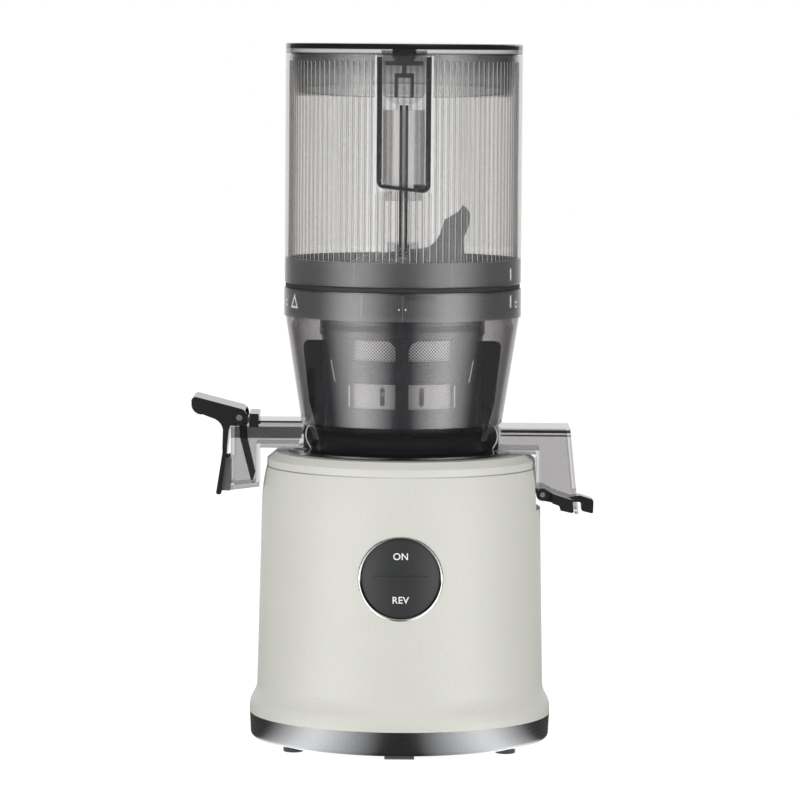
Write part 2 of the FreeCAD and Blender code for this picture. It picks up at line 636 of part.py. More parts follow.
def lay_gear():
    """The large first wheel and the small second pinion, in one piece on the lay pin."""
    wheel = gear(FIRST_MODULE, FIRST_WHEEL, FIRST_WHEEL_Z, FIRST_WHEEL_Z + FIRST_WHEEL_THICK, True)
    pinion_top = SECOND_WHEEL_Z + SECOND_WHEEL_THICK + 1
    pinion = gear(SECOND_MODULE, SECOND_PINION, FIRST_WHEEL_Z + FIRST_WHEEL_THICK - 1, pinion_top, True)
    hub_low = disc(LAY_PIN_RADIUS + 2.5, MOTOR_TOP + GEARBOX_WALL + EASY_GAP, FIRST_WHEEL_Z + 1)
    hub_high = disc(LAY_PIN_RADIUS + 2.5, pinion_top - 1, GEARBOX_TOP - GEARBOX_WALL - EASY_GAP)
    body = wheel.fuse([pinion, hub_low, hub_high])
    body = body.cut(disc(LAY_PIN_RADIUS + RUN_GAP, 0, LARGE))
    body.translate(V(0, AXLE_OFFSET, 0))
    return body


def output_gear():
    wheel = gear(SECOND_MODULE, SECOND_WHEEL, SECOND_WHEEL_Z, SECOND_WHEEL_Z + SECOND_WHEEL_THICK)
    return wheel.cut(disc(SHAFT_RADIUS, 0, LARGE))


def output_shaft():
    """Round in its bearings, six-sided where the auger sits on it."""
    shoulder = GEARBOX_TOP - GEARBOX_WALL - EASY_GAP
    shaft = disc(SHAFT_RADIUS, SECOND_WHEEL_Z - 1.5, SHAFT_HEX_Z)
    collar = disc(SHAFT_RADIUS + 2, SECOND_WHEEL_Z + SECOND_WHEEL_THICK, shoulder)
    point = turned((0, SHAFT_HEX_Z), [(SHAFT_HEX / 2 + 2, SHAFT_HEX_Z), (SHAFT_HEX / 2 + 2, SHAFT_TOP - 3),
                                      (SHAFT_HEX / 2 - 1, SHAFT_TOP), (0, SHAFT_TOP)])
    return shaft.fuse([collar, hexagon(SHAFT_HEX, SHAFT_HEX_Z - 1, SHAFT_TOP).common(point.fuse(shaft))])


def shaft_bearing():
    bottom = GEARBOX_TOP - GEARBOX_WALL
    return tube(BEARING_RADIUS, SHAFT_RADIUS + RUN_GAP, bottom, bottom + BEARING_WIDTH)


def shaft_seal():
    """The rubber lip seal in the deck that keeps juice out of the drive."""
    bottom, top = COVER_TOP_Z - COVER_WALL - 5, COVER_TOP_Z - 0.6
    return tube(COVER_BORE, SHAFT_RADIUS + 3, bottom, top).fuse(
        tube(SHAFT_RADIUS + 4, SHAFT_RADIUS + EASY_GAP, top - 2, top))


def motor_can():
    can = disc(MOTOR_RADIUS, MOTOR_BOTTOM, MOTOR_TOP).cut(
        disc(MOTOR_RADIUS - MOTOR_WALL, MOTOR_BOTTOM + 3, MOTOR_TOP - 3))
    vents = around(block(12, 30, -2, 2, MOTOR_BOTTOM - 1, MOTOR_BOTTOM + 4), 8)
    seats = [disc(MOTOR_SHAFT_RADIUS + 5, MOTOR_BOTTOM + 2, MOTOR_BOTTOM + 8),
             disc(MOTOR_SHAFT_RADIUS + 5, MOTOR_TOP - 8, MOTOR_TOP - 2)]
    return can.cut(vents).fuse(seats).cut(disc(MOTOR_SHAFT_RADIUS + 3, 0, LARGE))


def motor_bearings():
    return [tube(MOTOR_SHAFT_RADIUS + 3, MOTOR_SHAFT_RADIUS + RUN_GAP, z, z + 5)
            for z in (MOTOR_BOTTOM, MOTOR_TOP - 5)]


def stator():
    core = tube(MOTOR_RADIUS - MOTOR_WALL, STATOR_BORE, STATOR_BOTTOM, STATOR_TOP)
    slots = around(block(STATOR_BORE - 1, STATOR_BORE + 3, -1, 1, 0, LARGE), 12)
    return core.cut(slots)


def stator_coils():
    coils = []
    for bottom in (STATOR_BOTTOM - COIL_HEIGHT, STATOR_TOP):
        ring = tube(STATOR_BORE + 10, STATOR_BORE + 2, bottom, bottom + COIL_HEIGHT)
        gaps = around(block(STATOR_BORE, STATOR_BORE + 12, -0.8, 0.8, 0, LARGE), 12)
        coils.append(ring.cut(gaps))
    return Part.makeCompound(coils).Solids


def rotor():
    body = disc(STATOR_BORE - AIR_GAP, STATOR_BOTTOM + 2, STATOR_TOP - 2)
    bars = around(block(STATOR_BORE - AIR_GAP - 1, LARGE, -0.6, 0.6, 0, LARGE), 18)
    return body.cut(bars).cut(disc(MOTOR_SHAFT_RADIUS, 0, LARGE))


def motor_shaft():
    """The motor's shaft, with the first pinion cut on its end."""
    shaft = disc(MOTOR_SHAFT_RADIUS, FAN_BOTTOM - 2, FIRST_WHEEL_Z + FIRST_WHEEL_THICK)
    pinion_base = MOTOR_TOP + GEARBOX_WALL + EASY_GAP
    pinion = gear(FIRST_MODULE, FIRST_PINION, pinion_base, FIRST_WHEEL_Z + FIRST_WHEEL_THICK + 1)
    return shaft.fuse(pinion)


def cooling_fan():
    hub = disc(9.0, FAN_BOTTOM, FAN_TOP)
    plate = disc(FAN_RADIUS, FAN_TOP - 1.6, FAN_TOP)
    blade = block(8.0, FAN_RADIUS - 1, -0.9, 0.9, FAN_BOTTOM, FAN_TOP - 1)
    blade.rotate(V(8, 0, 0), UP, 24)
    fan = plate.fuse([hub] + around(blade, FAN_BLADES))
    return fan.common(disc(FAN_RADIUS, 0, LARGE)).cut(disc(MOTOR_SHAFT_RADIUS, 0, LARGE))


def control_board():
    bottom = FOOT_HEIGHT + FLOOR_PLATE + 2.5
    return block(-BOARD_WIDTH / 2, BOARD_WIDTH / 2, BOARD_Y, BOARD_Y + BOARD_THICK, bottom, BOARD_TOP)


def board_parts():
    """What stands on the control board: capacitor, heat sink, relay, coil and terminal block."""
    face = BOARD_Y + BOARD_THICK
    capacitor = rod_along_y(8.0, -20, 30, face, face + 22)
    relay = block(0, 16, face, face + 14, 20, 40)
    choke = rod_along_y(9.0, -20, 58, face, face + 9).cut(rod_along_y(4.0, -20, 58, face, face + 9))
    terminal = block(4, 28, face, face + 9, 64, 74)
    sink = block(20, 30, face, face + 3, 18, 54)
    fins = [block(20, 30, face + 2, face + 14, z, z + 1.6) for z in (18, 24, 30, 36, 42, 48)]
    return [capacitor, relay, choke, terminal, sink.fuse(fins)]


def button_bezel():
    """The bright ring round the button. Its rim follows the casing's curve."""
    outer = BUTTON_RADIUS + BUTTON_GAP + BEZEL_WALL
    ring = rod_along_y(outer, 0, BUTTON_Z, -LARGE, -WAIST_RADIUS + BEZEL_DEPTH)
    ring = ring.cut(rod_along_y(outer - BEZEL_WALL, 0, BUTTON_Z, -LARGE, 0))
    return ring.common(casing_solid(-BEZEL_PROUD))


def button_disc():
    """The rocking disc. Its face follows the casing's curve, with a raised bar across the middle."""
    face = casing_solid(BUTTON_SINK)
    back = BUTTON_BACK
    disc_solid = rod_along_y(BUTTON_RADIUS, 0, BUTTON_Z, -LARGE, back).common(face)
    straight = BAR_LENGTH / 2 - BAR_HEIGHT / 2
    bar = block(-straight, straight, -LARGE, back, BUTTON_Z - BAR_HEIGHT / 2, BUTTON_Z + BAR_HEIGHT / 2)
    bar = bar.fuse([rod_along_y(BAR_HEIGHT / 2, s * straight, BUTTON_Z, -LARGE, back) for s in (-1, 1)])
    bar = bar.common(casing_solid(BUTTON_SINK - BAR_PROUD))
    hubs = (-BUTTON_LUG_X, BUTTON_LUG_X)
    lugs = [rod_along_x(PIVOT_PIN_RADIUS + 1.6, BUTTON_PIVOT_Y, BUTTON_Z, x - 2, x + 2) for x in hubs]
    webs = [block(x - 2, x + 2, back - 1, BUTTON_PIVOT_Y, BUTTON_Z - 3, BUTTON_Z + 3) for x in hubs]
    pushers = [rod_along_y(2.0, 0, BUTTON_Z + s * SWITCH_SPREAD, back - 1, back + PUSHER_LENGTH) for s in (-1, 1)]
    body = disc_solid.fuse([bar] + lugs + webs + pushers)
    return body.cut(rod_along_x(PIVOT_PIN_RADIUS + RUN_GAP, BUTTON_PIVOT_Y, BUTTON_Z, -30, 30))


def button_pivot():
    return rod_along_x(PIVOT_PIN_RADIUS, BUTTON_PIVOT_Y, BUTTON_Z, -22, 22)


def button_housing():
    """The cup behind the bezel that carries the pivot pin and the switch board."""
    outer = BUTTON_RADIUS + BUTTON_GAP + BEZEL_WALL
    front = -WAIST_RADIUS + BEZEL_DEPTH
    back = front + HOUSING_DEPTH
    cup = rod_along_y(outer, 0, BUTTON_Z, front, back)
    cup = cup.cut(rod_along_y(outer - HOUSING_WALL, 0, BUTTON_Z, front, back - HOUSING_WALL))
    ears = []
    for s in (-1, 1):
        low, high = sorted((s * 20.0, s * 24.0))
        ears.append(block(low, high, BUTTON_PIVOT_Y - 2.2, back - HOUSING_WALL, BUTTON_Z - 3.5, BUTTON_Z + 3.5))
    cup = cup.fuse(ears)
    return cup.cut(rod_along_x(PIVOT_PIN_RADIUS, BUTTON_PIVOT_Y, BUTTON_Z, -22, 22))


def switch_board():
    """A small board with a hole for each pusher's switch, held off the housing's back by two posts."""
    top = SWITCH_FACE_Y + SWITCH_HEIGHT
    board = block(-15, 15, top, top + BOARD_THICK, BUTTON_Z - 20, BUTTON_Z + 20)
    back = -WAIST_RADIUS + BEZEL_DEPTH + HOUSING_DEPTH - HOUSING_WALL
    posts = [rod_along_y(2.0, x, BUTTON_Z, top + BOARD_THICK, back) for x in (-11, 11)]
    return board.fuse(posts)


def push_switches():
    switches = []
    half = SWITCH_SIZE / 2
    for s in (-1, 1):
        z = BUTTON_Z + s * SWITCH_SPREAD
        body = block(-half, half, SWITCH_FACE_Y + 1.2, SWITCH_FACE_Y + SWITCH_HEIGHT, z - half, z + half)
        switches.append(body.fuse(rod_along_y(1.6, 0, z, SWITCH_FACE_Y, SWITCH_FACE_Y + 2)))
    return switches


DRUM_Z = COVER_TOP_Z + DRUM_SEAT_GAP
FLOOR_UNDER = DRUM_FLOOR - DRUM_WALL
BOWL_SLOPE = (DRUM_RIM_RADIUS - DRUM_BOWL_RADIUS) / (RING_BOTTOM - DRUM_BOWL_Z)
LEDGE_Z = RING_BOTTOM + 1.0
LEDGE_WIDTH = 3.0
LEDGE_RADIUS = RING_BORE - LEDGE_WIDTH


def bowl_space():
    """The inside of the drum, from its floor to its mouth, as a solid."""
    inner = DRUM_BOWL_RADIUS - DRUM_WALL
    high_z = RING_BOTTOM - 7
    high = inner + BOWL_SLOPE * (high_z - DRUM_BOWL_Z)
    return turned((0, DRUM_FLOOR), [
        (inner - 6, DRUM_FLOOR),
        ((inner - 3.6, DRUM_FLOOR + 2.6), (inner, DRUM_BOWL_Z)),
        (high, high_z),
        (LEDGE_RADIUS, RING_BOTTOM - 3),
        (LEDGE_RADIUS, LEDGE_Z),
        (RING_BORE, LEDGE_Z),
        (RING_BORE, RING_TOP + 1),
        (0, RING_TOP + 1),
    ])


def drum_ears():
    """Lugs on the spout and the chute that carry the two levers' pins."""
    inner = SPOUT_HALF - 3.0
    ears = []
    for side in (-1, 1):
        low, high = sorted((side * inner, side * SPOUT_HALF))
        ears.append(rod_along_y(3.4, LEVER_PIVOT_X, LEVER_PIVOT_Z, low, high))
        ears.append(block(LEVER_PIVOT_X - 3.4, LEVER_PIVOT_X + 3.4, low, high, SPOUT_TOP - 1, LEVER_PIVOT_Z))
        low, high = sorted((side * (CHUTE_HALF - DUCT_WALL), side * CHUTE_HALF))
        ears.append(rod_along_y(PULP_HUB + 0.2, PULP_PIVOT_X, PULP_PIVOT_Z, low, high))
    return ears


def juice_drum():
    """The bowl with its locking ring, foot, centre tube, juice spout and pulp chute."""
    bowl = turned((0, DRUM_Z), [
        (DRUM_FOOT_RADIUS, DRUM_Z),
        (DRUM_FOOT_RADIUS, DRUM_Z + DRUM_FOOT_EDGE),
        ((DRUM_WAIST_RADIUS + 5.1, DRUM_Z + 3.9), (DRUM_WAIST_RADIUS, DRUM_WAIST_Z)),
        ((DRUM_WAIST_RADIUS + 2.1, DRUM_WAIST_Z + 6.0), (DRUM_BOWL_RADIUS, DRUM_BOWL_Z)),
        (DRUM_RIM_RADIUS, RING_BOTTOM),
        (RING_RADIUS, RING_BOTTOM),
        (RING_RADIUS, RING_TOP),
        (0, RING_TOP),
    ])
    under = turned((0, DRUM_Z), [
        (DRUM_FOOT_RADIUS - 2, DRUM_Z),
        ((DRUM_WAIST_RADIUS + 2.7, DRUM_Z + 2.6), (DRUM_WAIST_RADIUS - DRUM_WALL - 0.6, FLOOR_UNDER)),
        (0, FLOOR_UNDER),
    ])
    space = bowl_space().cut(disc(TUBE_RADIUS, DRUM_FLOOR, TUBE_TOP))
    bowl = bowl.cut([under, space])
    bowl = bowl.fuse(tube(COLLAR_RADIUS + 2.7, COLLAR_RADIUS + EASY_GAP, DRUM_Z, FLOOR_UNDER + 0.3))
    bowl = bowl.cut(disc(TUBE_BORE, DRUM_Z, TUBE_TOP + 1))
    root = 4.3 - DRUM_WAIST_RADIUS
    spout = slab((root, DUCT_FLOOR), [
        (-SPOUT_DROP_X, DUCT_FLOOR),
        (-SPOUT_DROP_X, SPOUT_BOTTOM + 1.2),
        (-SPOUT_END, SPOUT_BOTTOM - 1.2),
        (-SPOUT_END, SPOUT_TOP),
        (root, SPOUT_TOP),
    ], SPOUT_HALF)
    chute = slab((COLLAR_RADIUS + 1, DRUM_Z), [
        (CHUTE_DROP_X, DRUM_Z),
        (CHUTE_DROP_X, CHUTE_LIP_Z + 2.7),
        (CHUTE_LOW_END - DUCT_WALL - 0.9, CHUTE_LIP_Z - 5.1),
        (CHUTE_LOW_END - DUCT_WALL, CHUTE_LOW_Z),
        (CHUTE_LOW_END, CHUTE_LOW_Z),
        (CHUTE_TOP_END, CHUTE_TOP),
        (COLLAR_RADIUS + 1, CHUTE_TOP),
    ], CHUTE_HALF)
    inside = bowl_space().fuse(disc(DRUM_WAIST_RADIUS - 3, FLOOR_UNDER, DRUM_FLOOR))
    body = bowl.fuse([spout.cut(inside), chute.cut(inside)] + drum_ears())
    end = SPOUT_END - DUCT_WALL
    spout_space = slab((root - 1, DRUM_FLOOR), [
        (root - 10, DRUM_FLOOR),
        (root - 12, DUCT_FLOOR + DUCT_WALL),
        (-SPOUT_DROP_X - DUCT_WALL, DUCT_FLOOR + DUCT_WALL),
        (-SPOUT_DROP_X - DUCT_WALL, SPOUT_BOTTOM + 3.6),
        (-end, SPOUT_BOTTOM + 1.8),
        (-end, SPOUT_TOP - DUCT_WALL),
        (root - 1, SPOUT_TOP - DUCT_WALL),
    ], SPOUT_HALF - DUCT_WALL)
    mouth = block(-SPOUT_END - 1, -end + 1, -SPOUT_HALF + 4, SPOUT_HALF - 4, MOUTH_BOTTOM, MOUTH_TOP)
    chute_space = slab((CHUTE_INNER_X, DRUM_Z + DUCT_WALL), [
        (CHUTE_INNER_X, FLOOR_UNDER),
        (DRUM_WAIST_RADIUS + 0.3, FLOOR_UNDER),
        (DRUM_WAIST_RADIUS + 3.5, CHUTE_TOP - DUCT_WALL),
        (CHUTE_TOP_END - DUCT_WALL + 0.3, CHUTE_TOP - DUCT_WALL),
        (CHUTE_LOW_END - DUCT_WALL + 0.1, CHUTE_LOW_Z - 1),
        (CHUTE_DROP_X + DUCT_WALL, CHUTE_LOW_Z - 1),
        (CHUTE_DROP_X + DUCT_WALL, DRUM_Z + DUCT_WALL),
    ], CHUTE_HALF - DUCT_WALL)
    pulp_slot = block(CHUTE_INNER_X, 44, -12, 12, FLOOR_UNDER - 1, DRUM_FLOOR + 1)
    arm_slot = block(CHUTE_TOP_END, CHUTE_LOW_END + 1, -HOOK_HALF - 0.6, HOOK_HALF + 0.6, CHUTE_LOW_Z - 1, CHUTE_LIP_Z - 0.5)
    pins = [rod_along_y(LEVER_PIN_RADIUS, LEVER_PIVOT_X, LEVER_PIVOT_Z, -LARGE, LARGE),
            rod_along_y(PULP_PIN_RADIUS, PULP_PIVOT_X, PULP_PIVOT_Z, -LARGE, LARGE)]
    body = body.cut([spout_space, mouth, chute_space, pulp_slot, arm_slot] + pins)
    groove = tube(LUG_REACH + EASY_GAP, RING_BORE - 1, LUG_BOTTOM - EASY_GAP, LUG_TOP + EASY_GAP)
    entry = tube(LUG_REACH + EASY_GAP, RING_BORE - 1, LUG_BOTTOM, RING_TOP + 1)
    entry = entry.common(wedge(LUG_HALF_ANGLE + 1.5, 0, LUG_BOTTOM, RING_TOP + 1))
    return body.cut([groove] + around(entry, LUG_COUNT, LUG_FIRST - TWIST_ANGLE))


def lever_bracket():
    """The dark clip over the spout behind the lever."""
    half = SPOUT_HALF + 2
    clip = block(LEVER_PIVOT_X + 6.4, LEVER_PIVOT_X + 12.6, -half, half, SPOUT_TOP - 4.2, SPOUT_TOP + 4.6)
    return clip.cut(block(-LARGE, 0, -SPOUT_HALF, SPOUT_HALF, 0, SPOUT_TOP))


def spout_leaf():
    """The soft leaf that hangs in the spout and wipes the last drops towards the mouth."""
    return slab(*placed(LEVER_PIVOT_X, SPOUT_TOP, (-0.6, -DUCT_WALL), [
        (0.0, -12.2),
        (7.2, -39.7),
        (8.4, -40.2),
        (9.9, -35.2),
        (4.8, -13.2),
        (4.2, -DUCT_WALL),
    ]), 5.0)


def lever_pin(radius, head_radius, x, z, half):
    pin = rod_along_y(radius, x, z, -half, half)
    heads = [rod_along_y(head_radius, x, z, half, half + 0.9), rod_along_y(head_radius, x, z, -half - 0.9, -half)]
    slot = [block(x - 0.25, x + 0.25, s * (half + 0.7) - 0.3, s * (half + 0.7) + 0.3, z - 1.3, z + 1.3) for s in (-1, 1)]
    return pin.fuse(heads).cut(slot)


def juice_lever():
    """A handle, two arms beside the spout and a flap in front of its mouth."""
    outer = SPOUT_HALF + EASY_GAP + LEVER_ARM
    x, z = LEVER_PIVOT_X, LEVER_PIVOT_Z
    hub = LEVER_HUB_RADIUS
    side = slab(*placed(x, z, (-28.0, 13.2), [
        (1.6, hub + 0.4),
        ((hub * 0.9, 2.6), (hub * 0.8, -hub * 0.6)),
        ((0.0, -hub), (-5.6, -5.2)),
        (-6.8, -8.4),
        (-8.2, -23.4),
        (-11.6, -49.8),
        ((-13.3, -50.6), (-15.0, -49.6)),
        (-11.0, -23.4),
        (-10.6, -8.0),
        ((-12.8, -3.4), (-17.2, -0.6)),
        (-23.6, 1.8),
        ((-30.6, 6.0), (-31.0, 9.6)),
        ((-30.2, 12.5), (-28.0, 13.2)),
    ]), outer)
    between = SPOUT_HALF + EASY_GAP
    hollow = slab(*placed(x, z, (-6.2, -62.4), [(45.4, -62.4), (45.4, 4.2), (-4.4, 4.2), (-6.2, 1.0)]), between)
    narrow = block(-LARGE, 0, -SPOUT_HALF, SPOUT_HALF, 0, z - 20.4)
    trims = [block(-LARGE, 0, -LARGE, LARGE, 0, z - 20.4).cut(narrow)]
    bosses = [rod_along_y(LEVER_BOSS_RADIUS, x, z, low, low + 0.7) for low in (-outer - 0.7, outer)]
    body = side.cut([hollow] + trims).fuse(bosses)
    return body.cut(rod_along_y(LEVER_PIN_RADIUS + RUN_GAP, x, z, -LARGE, LARGE))


def lever_seal():
    """The soft plug on the flap that meets the spout's mouth."""
    face = -SPOUT_END - 0.4
    plug = slab((face, MOUTH_BOTTOM - 4.6), [
        (face - 5.4, MOUTH_BOTTOM - 4.6),
        (face - 2.7, MOUTH_TOP + 0.4),
        (face, MOUTH_TOP + 1.6),
    ], SPOUT_HALF - 2.5)
    return plug.cut(juice_lever())


def pulp_lever():
    """The flap under the pulp chute. Its hub lies between the chute's ears and its arm reaches outside."""
    narrow = CHUTE_HALF - DUCT_WALL - 0.4
    x, z, hub = PULP_PIVOT_X, PULP_PIVOT_Z, PULP_HUB
    flap = slab(*placed(x, z, (6.4, 0.8), [
        (19.6, -3.5),
        (20.4, -11.2),
        (19.0, -11.8),
        (11.8, -10.2),
        (10.8, -7.2),
        (6.4, -5.6),
    ]), CHUTE_HALF - 0.2)
    hinge = slab(*placed(x, z, (1.0, hub - 0.2), [(8.0, 0.2), (8.0, -5.6), (0.0, -hub)]), narrow)
    hinge = hinge.fuse(rod_along_y(hub, x, z, -narrow, narrow))
    hook = slab(*placed(x, z, (16.2, -3.0), [
        (24.8, -1.6),
        (31.8, -3.8),
        ((33.4, -4.7), (33.8, -6.2)),
        (33.6, -12.2),
        ((33.1, -13.2), (32.0, -13.2)),
        (26.8, -12.0),
        (25.8, -11.0),
        (25.6, -7.2),
        ((25.1, -6.3), (24.2, -6.0)),
        (16.2, -6.0),
    ]), HOOK_HALF)
    body = flap.fuse([hinge, hook])
    return body.cut(rod_along_y(PULP_PIN_RADIUS + RUN_GAP, x, z, -LARGE, LARGE))


def tube_seal():
    """The rubber ring on the drum's centre tube, under the auger."""
    return tube(AUGER_HOLLOW - 0.6, TUBE_RADIUS, TUBE_TOP - 6, TUBE_TOP - 3)


def strainer_radius(z):
    share = (z - DRUM_FLOOR) / (STRAINER_COLLAR_Z - DRUM_FLOOR)
    return STRAINER_FOOT_RADIUS + share * (STRAINER_TOP_RADIUS - STRAINER_FOOT_RADIUS)


def strainer_frame():
    """The dark cage that holds the mesh: collar, seat flange, windows, band and two side wings."""
    foot = DRUM_FLOOR + STRAINER_SEAT_GAP
    seat = LEDGE_Z + STRAINER_SEAT_GAP
    collar = STRAINER_TOP_RADIUS + 1.2
    body = turned((MESH_SEAT, foot), [
        (STRAINER_FOOT_RADIUS, foot),
        (STRAINER_TOP_RADIUS, STRAINER_COLLAR_Z),
        (collar, STRAINER_COLLAR_Z + 0.8),
        (collar, seat - 4.0),
        (collar + 3.2, seat),
        (STRAINER_FLANGE_RADIUS, seat),
        (STRAINER_FLANGE_RADIUS, seat + STRAINER_FLANGE_THICK),
        (MESH_SEAT, seat + STRAINER_FLANGE_THICK),
    ])
    body = body.fuse(tube(MESH_SEAT + 1, MESH_SEAT - 4, foot, foot + 1.8))
    band = tube(strainer_radius(BAND_TOP) + STRAINER_BAND_PROUD, STRAINER_FOOT_RADIUS, BAND_BOTTOM, BAND_TOP)
    for facing in (-90, 90):
        body = body.fuse(band.common(wedge(BAND_HALF_ANGLE, facing, BAND_BOTTOM, BAND_TOP)))
    lines = []
    for z in RINGS_ON_FOOT:
        line = tube(strainer_radius(z) + 0.5, STRAINER_FOOT_RADIUS - 1, z, z + 1.0)
        lines += [line.common(wedge(28, facing, z, z + 1.0)) for facing in (-120, -60, 60, 120)]
    body = body.fuse(lines)
    reach = STRAINER_TOP_RADIUS - 2
    fin = slab(*placed(reach, foot + 3, (0.0, 0.0), [
        (5.4, 0.0),
        (9.8, 17.3),
        (13.8, 52.3),
        ((12.8, 55.9), (9.8, 57.3)),
        (0.0, 57.3),
    ]), FIN_THICK / 2)
    body = body.fuse([fin, mirrored(fin, RIGHT)])
    near, far = WINDOW_NEAR, WINDOW_FAR
    low, high = LOW_WINDOW, HIGH_WINDOW
    r = WINDOW_ROUND
    windows = [
        slab((near, high[0]), [(near, high[1] - r), ((near + 0.29 * r, high[1] - 0.29 * r), (near + r, high[1])),
                               (far, high[1]), (far, high[0])], LARGE),
        slab((near, low[0]), [(near, low[1]), (far, low[1]), (far, low[0])], LARGE),
    ]
    openings = windows + [mirrored(w, RIGHT) for w in windows]
    seam = [block(-0.4, 0.4, s * strainer_radius(low[1]) - 0.5, s * strainer_radius(low[1]) + 0.5, foot + 4,
                  foot + 60.3)
            for s in (-1, 1)]
    body = body.cut([opening.cut(disc(MESH_SEAT - 1, 0, LARGE)) for opening in openings])
    return body.fuse([rib.cut(disc(MESH_SEAT, 0, LARGE)) for rib in seam])


def strainer_mesh():
    """The metal sleeve inside the cage, with a long slot behind each low window."""
    sleeve = tube(MESH_SEAT, MESH_SEAT - MESH_THICK, LOW_WINDOW[0] - 6.6, HIGH_WINDOW[1] + 3.2)
    cuts = []
    for x in (-12.6, 12.6):
        cut = block(x - 1.5, x + 1.5, -LARGE, LARGE, LOW_WINDOW[0] + 3.5, LOW_WINDOW[1] - 3.5)
        ends = [rod_along_y(1.5, x, z, -LARGE, LARGE) for z in (LOW_WINDOW[0] + 3.5, LOW_WINDOW[1] - 3.5)]
        cuts.append(cut.fuse(ends))
    return sleeve.cut(cuts)


def auger():
    """The crushing screw: a tapered core, one climbing flight and the tall horn that grabs the food."""
    core = turned((0, AUGER_FOOT_Z), [
        (AUGER_FOOT_CORE, AUGER_FOOT_Z),
        (AUGER_NECK_CORE, AUGER_NECK_Z),
        (AUGER_NECK_CORE, AUGER_CAP_Z - 6),
        (0, AUGER_CAP_Z - 6),
    ])
    height = FLIGHT_PITCH * FLIGHT_TURNS
    start = AUGER_FOOT_Z + 1.0
    inner = AUGER_NECK_CORE - 4
    spine = Part.Wire(Part.makeHelix(FLIGHT_PITCH, height, FLIGHT_RADIUS).Edges)
    thick = FLIGHT_THICK
    corners = [V(inner, 0, 0), V(FLIGHT_RADIUS, 0, thick * 0.25), V(FLIGHT_RADIUS, 0, thick * 0.75), V(inner, 0, thick * 1.3)]
    section = Part.makePolygon(corners + corners[:1])
    flight = spine.makePipeShell([section], True, True)
    flight.translate(V(0, 0, start))
    body = core.fuse(flight)
    cap = turned((0, AUGER_NECK_Z - 4), [
        (AUGER_NECK_CORE, AUGER_NECK_Z - 4),
        (AUGER_CAP_RADIUS, AUGER_NECK_Z + 6),
        (AUGER_CAP_RADIUS - 1.5, AUGER_NECK_Z + 8.5),
        ((20, AUGER_CAP_Z + 1), (2, AUGER_CAP_Z + 2.6)),
        (0, AUGER_CAP_Z + 2.6),
    ])
    horn = slab(*placed(0, AUGER_CAP_Z, (-40.0, -6.0), [
        (-34.0, 1.0),
        (-27.5, 4.7),
        (-21.7, 6.0),
        (8.9, 9.9),
        ((19.0, 13.0), (23.9, 19.6)),
        (27.1, 29.1),
        (35.9, 34.3),
        (38.8, 38.4),
        ((42.6, 34.6), (43.4, 29.4)),
        ((42.3, 24.0), (39.5, 18.0)),
        (40.5, -6.0),
    ]), HORN_THICK / 2)
    horn = horn.common(disc(AUGER_CAP_RADIUS + 2, 0, LARGE))
    body = body.fuse([cap, horn])
    hollow = disc(AUGER_HOLLOW, AUGER_FOOT_Z, SOCKET_BOTTOM).fuse(disc(SOCKET_RADIUS, SOCKET_BOTTOM, SOCKET_TOP))
    return body.cut(hollow)


def auger_socket():
    """The metal bush pressed into the auger, with the six-sided hole for the drive shaft."""
    return disc(SOCKET_RADIUS, SOCKET_BOTTOM, SOCKET_TOP).cut(
        hexagon(SHAFT_HEX + 2 * RUN_GAP, SOCKET_BOTTOM, SHAFT_TOP + 2))


def funnel_curve():
    return [((FUNNEL_RADIUS + 11.0, FUNNEL_Z + 3.0), (FUNNEL_RADIUS, FUNNEL_Z))]


def hopper_ring():
    """The dark lower end of the hopper: funnel, outer band, and skirt with its locking lugs."""
    band = HOPPER_RADIUS - 0.1
    skirt = HOPPER_SKIRT_RADIUS
    inner = skirt - HOPPER_SKIRT_WALL
    throat = FUNNEL_RADIUS
    ring = turned((throat, FUNNEL_Z - 6), [
        (throat + FUNNEL_WALL, FUNNEL_Z - 6),
        (throat + FUNNEL_WALL, FUNNEL_Z - FUNNEL_WALL),
        (inner, HOPPER_FOOT - 7.4),
        (inner, HOPPER_SKIRT_BOTTOM),
        (skirt, HOPPER_SKIRT_BOTTOM),
        (skirt, HOPPER_RING_BOTTOM),
        (band - 1.0, HOPPER_RING_BOTTOM),
        (band, HOPPER_RING_BOTTOM + 1.0),
        (band, HOPPER_FOOT),
        (HOPPER_CREST, HOPPER_FOOT),
        (HOPPER_CREST, HOPPER_FOOT - 4),
        *funnel_curve(),
    ])
    lug = tube(LUG_REACH, skirt - 1, LUG_BOTTOM, LUG_TOP).common(wedge(LUG_HALF_ANGLE, 0, LUG_BOTTOM, LUG_TOP))
    return ring.fuse(around(lug, LUG_COUNT, LUG_FIRST))


def hopper_seal():
    """The rubber ring between the hopper and the drum's locking ring."""
    return tube(HOPPER_SKIRT_RADIUS + 2.4, HOPPER_SKIRT_RADIUS, RING_TOP + EASY_GAP, HOPPER_RING_BOTTOM)


def scallops(bottom, top):
    """The inside of the fluted wall as a solid: one shallow round hollow for each rib gap."""
    edges = []
    step = 2 * math.pi / RIB_COUNT
    place = lambda radius, angle: V(radius * math.cos(angle), radius * math.sin(angle), bottom)
    for i in range(RIB_COUNT):
        a = i * step
        arc = Part.Arc(place(HOPPER_CREST, a), place(HOPPER_VALLEY, a + step / 2), place(HOPPER_CREST, a + step))
        edges.append(arc.toShape())
    return Part.Face(Part.Wire(edges)).extrude(V(0, 0, top - bottom))


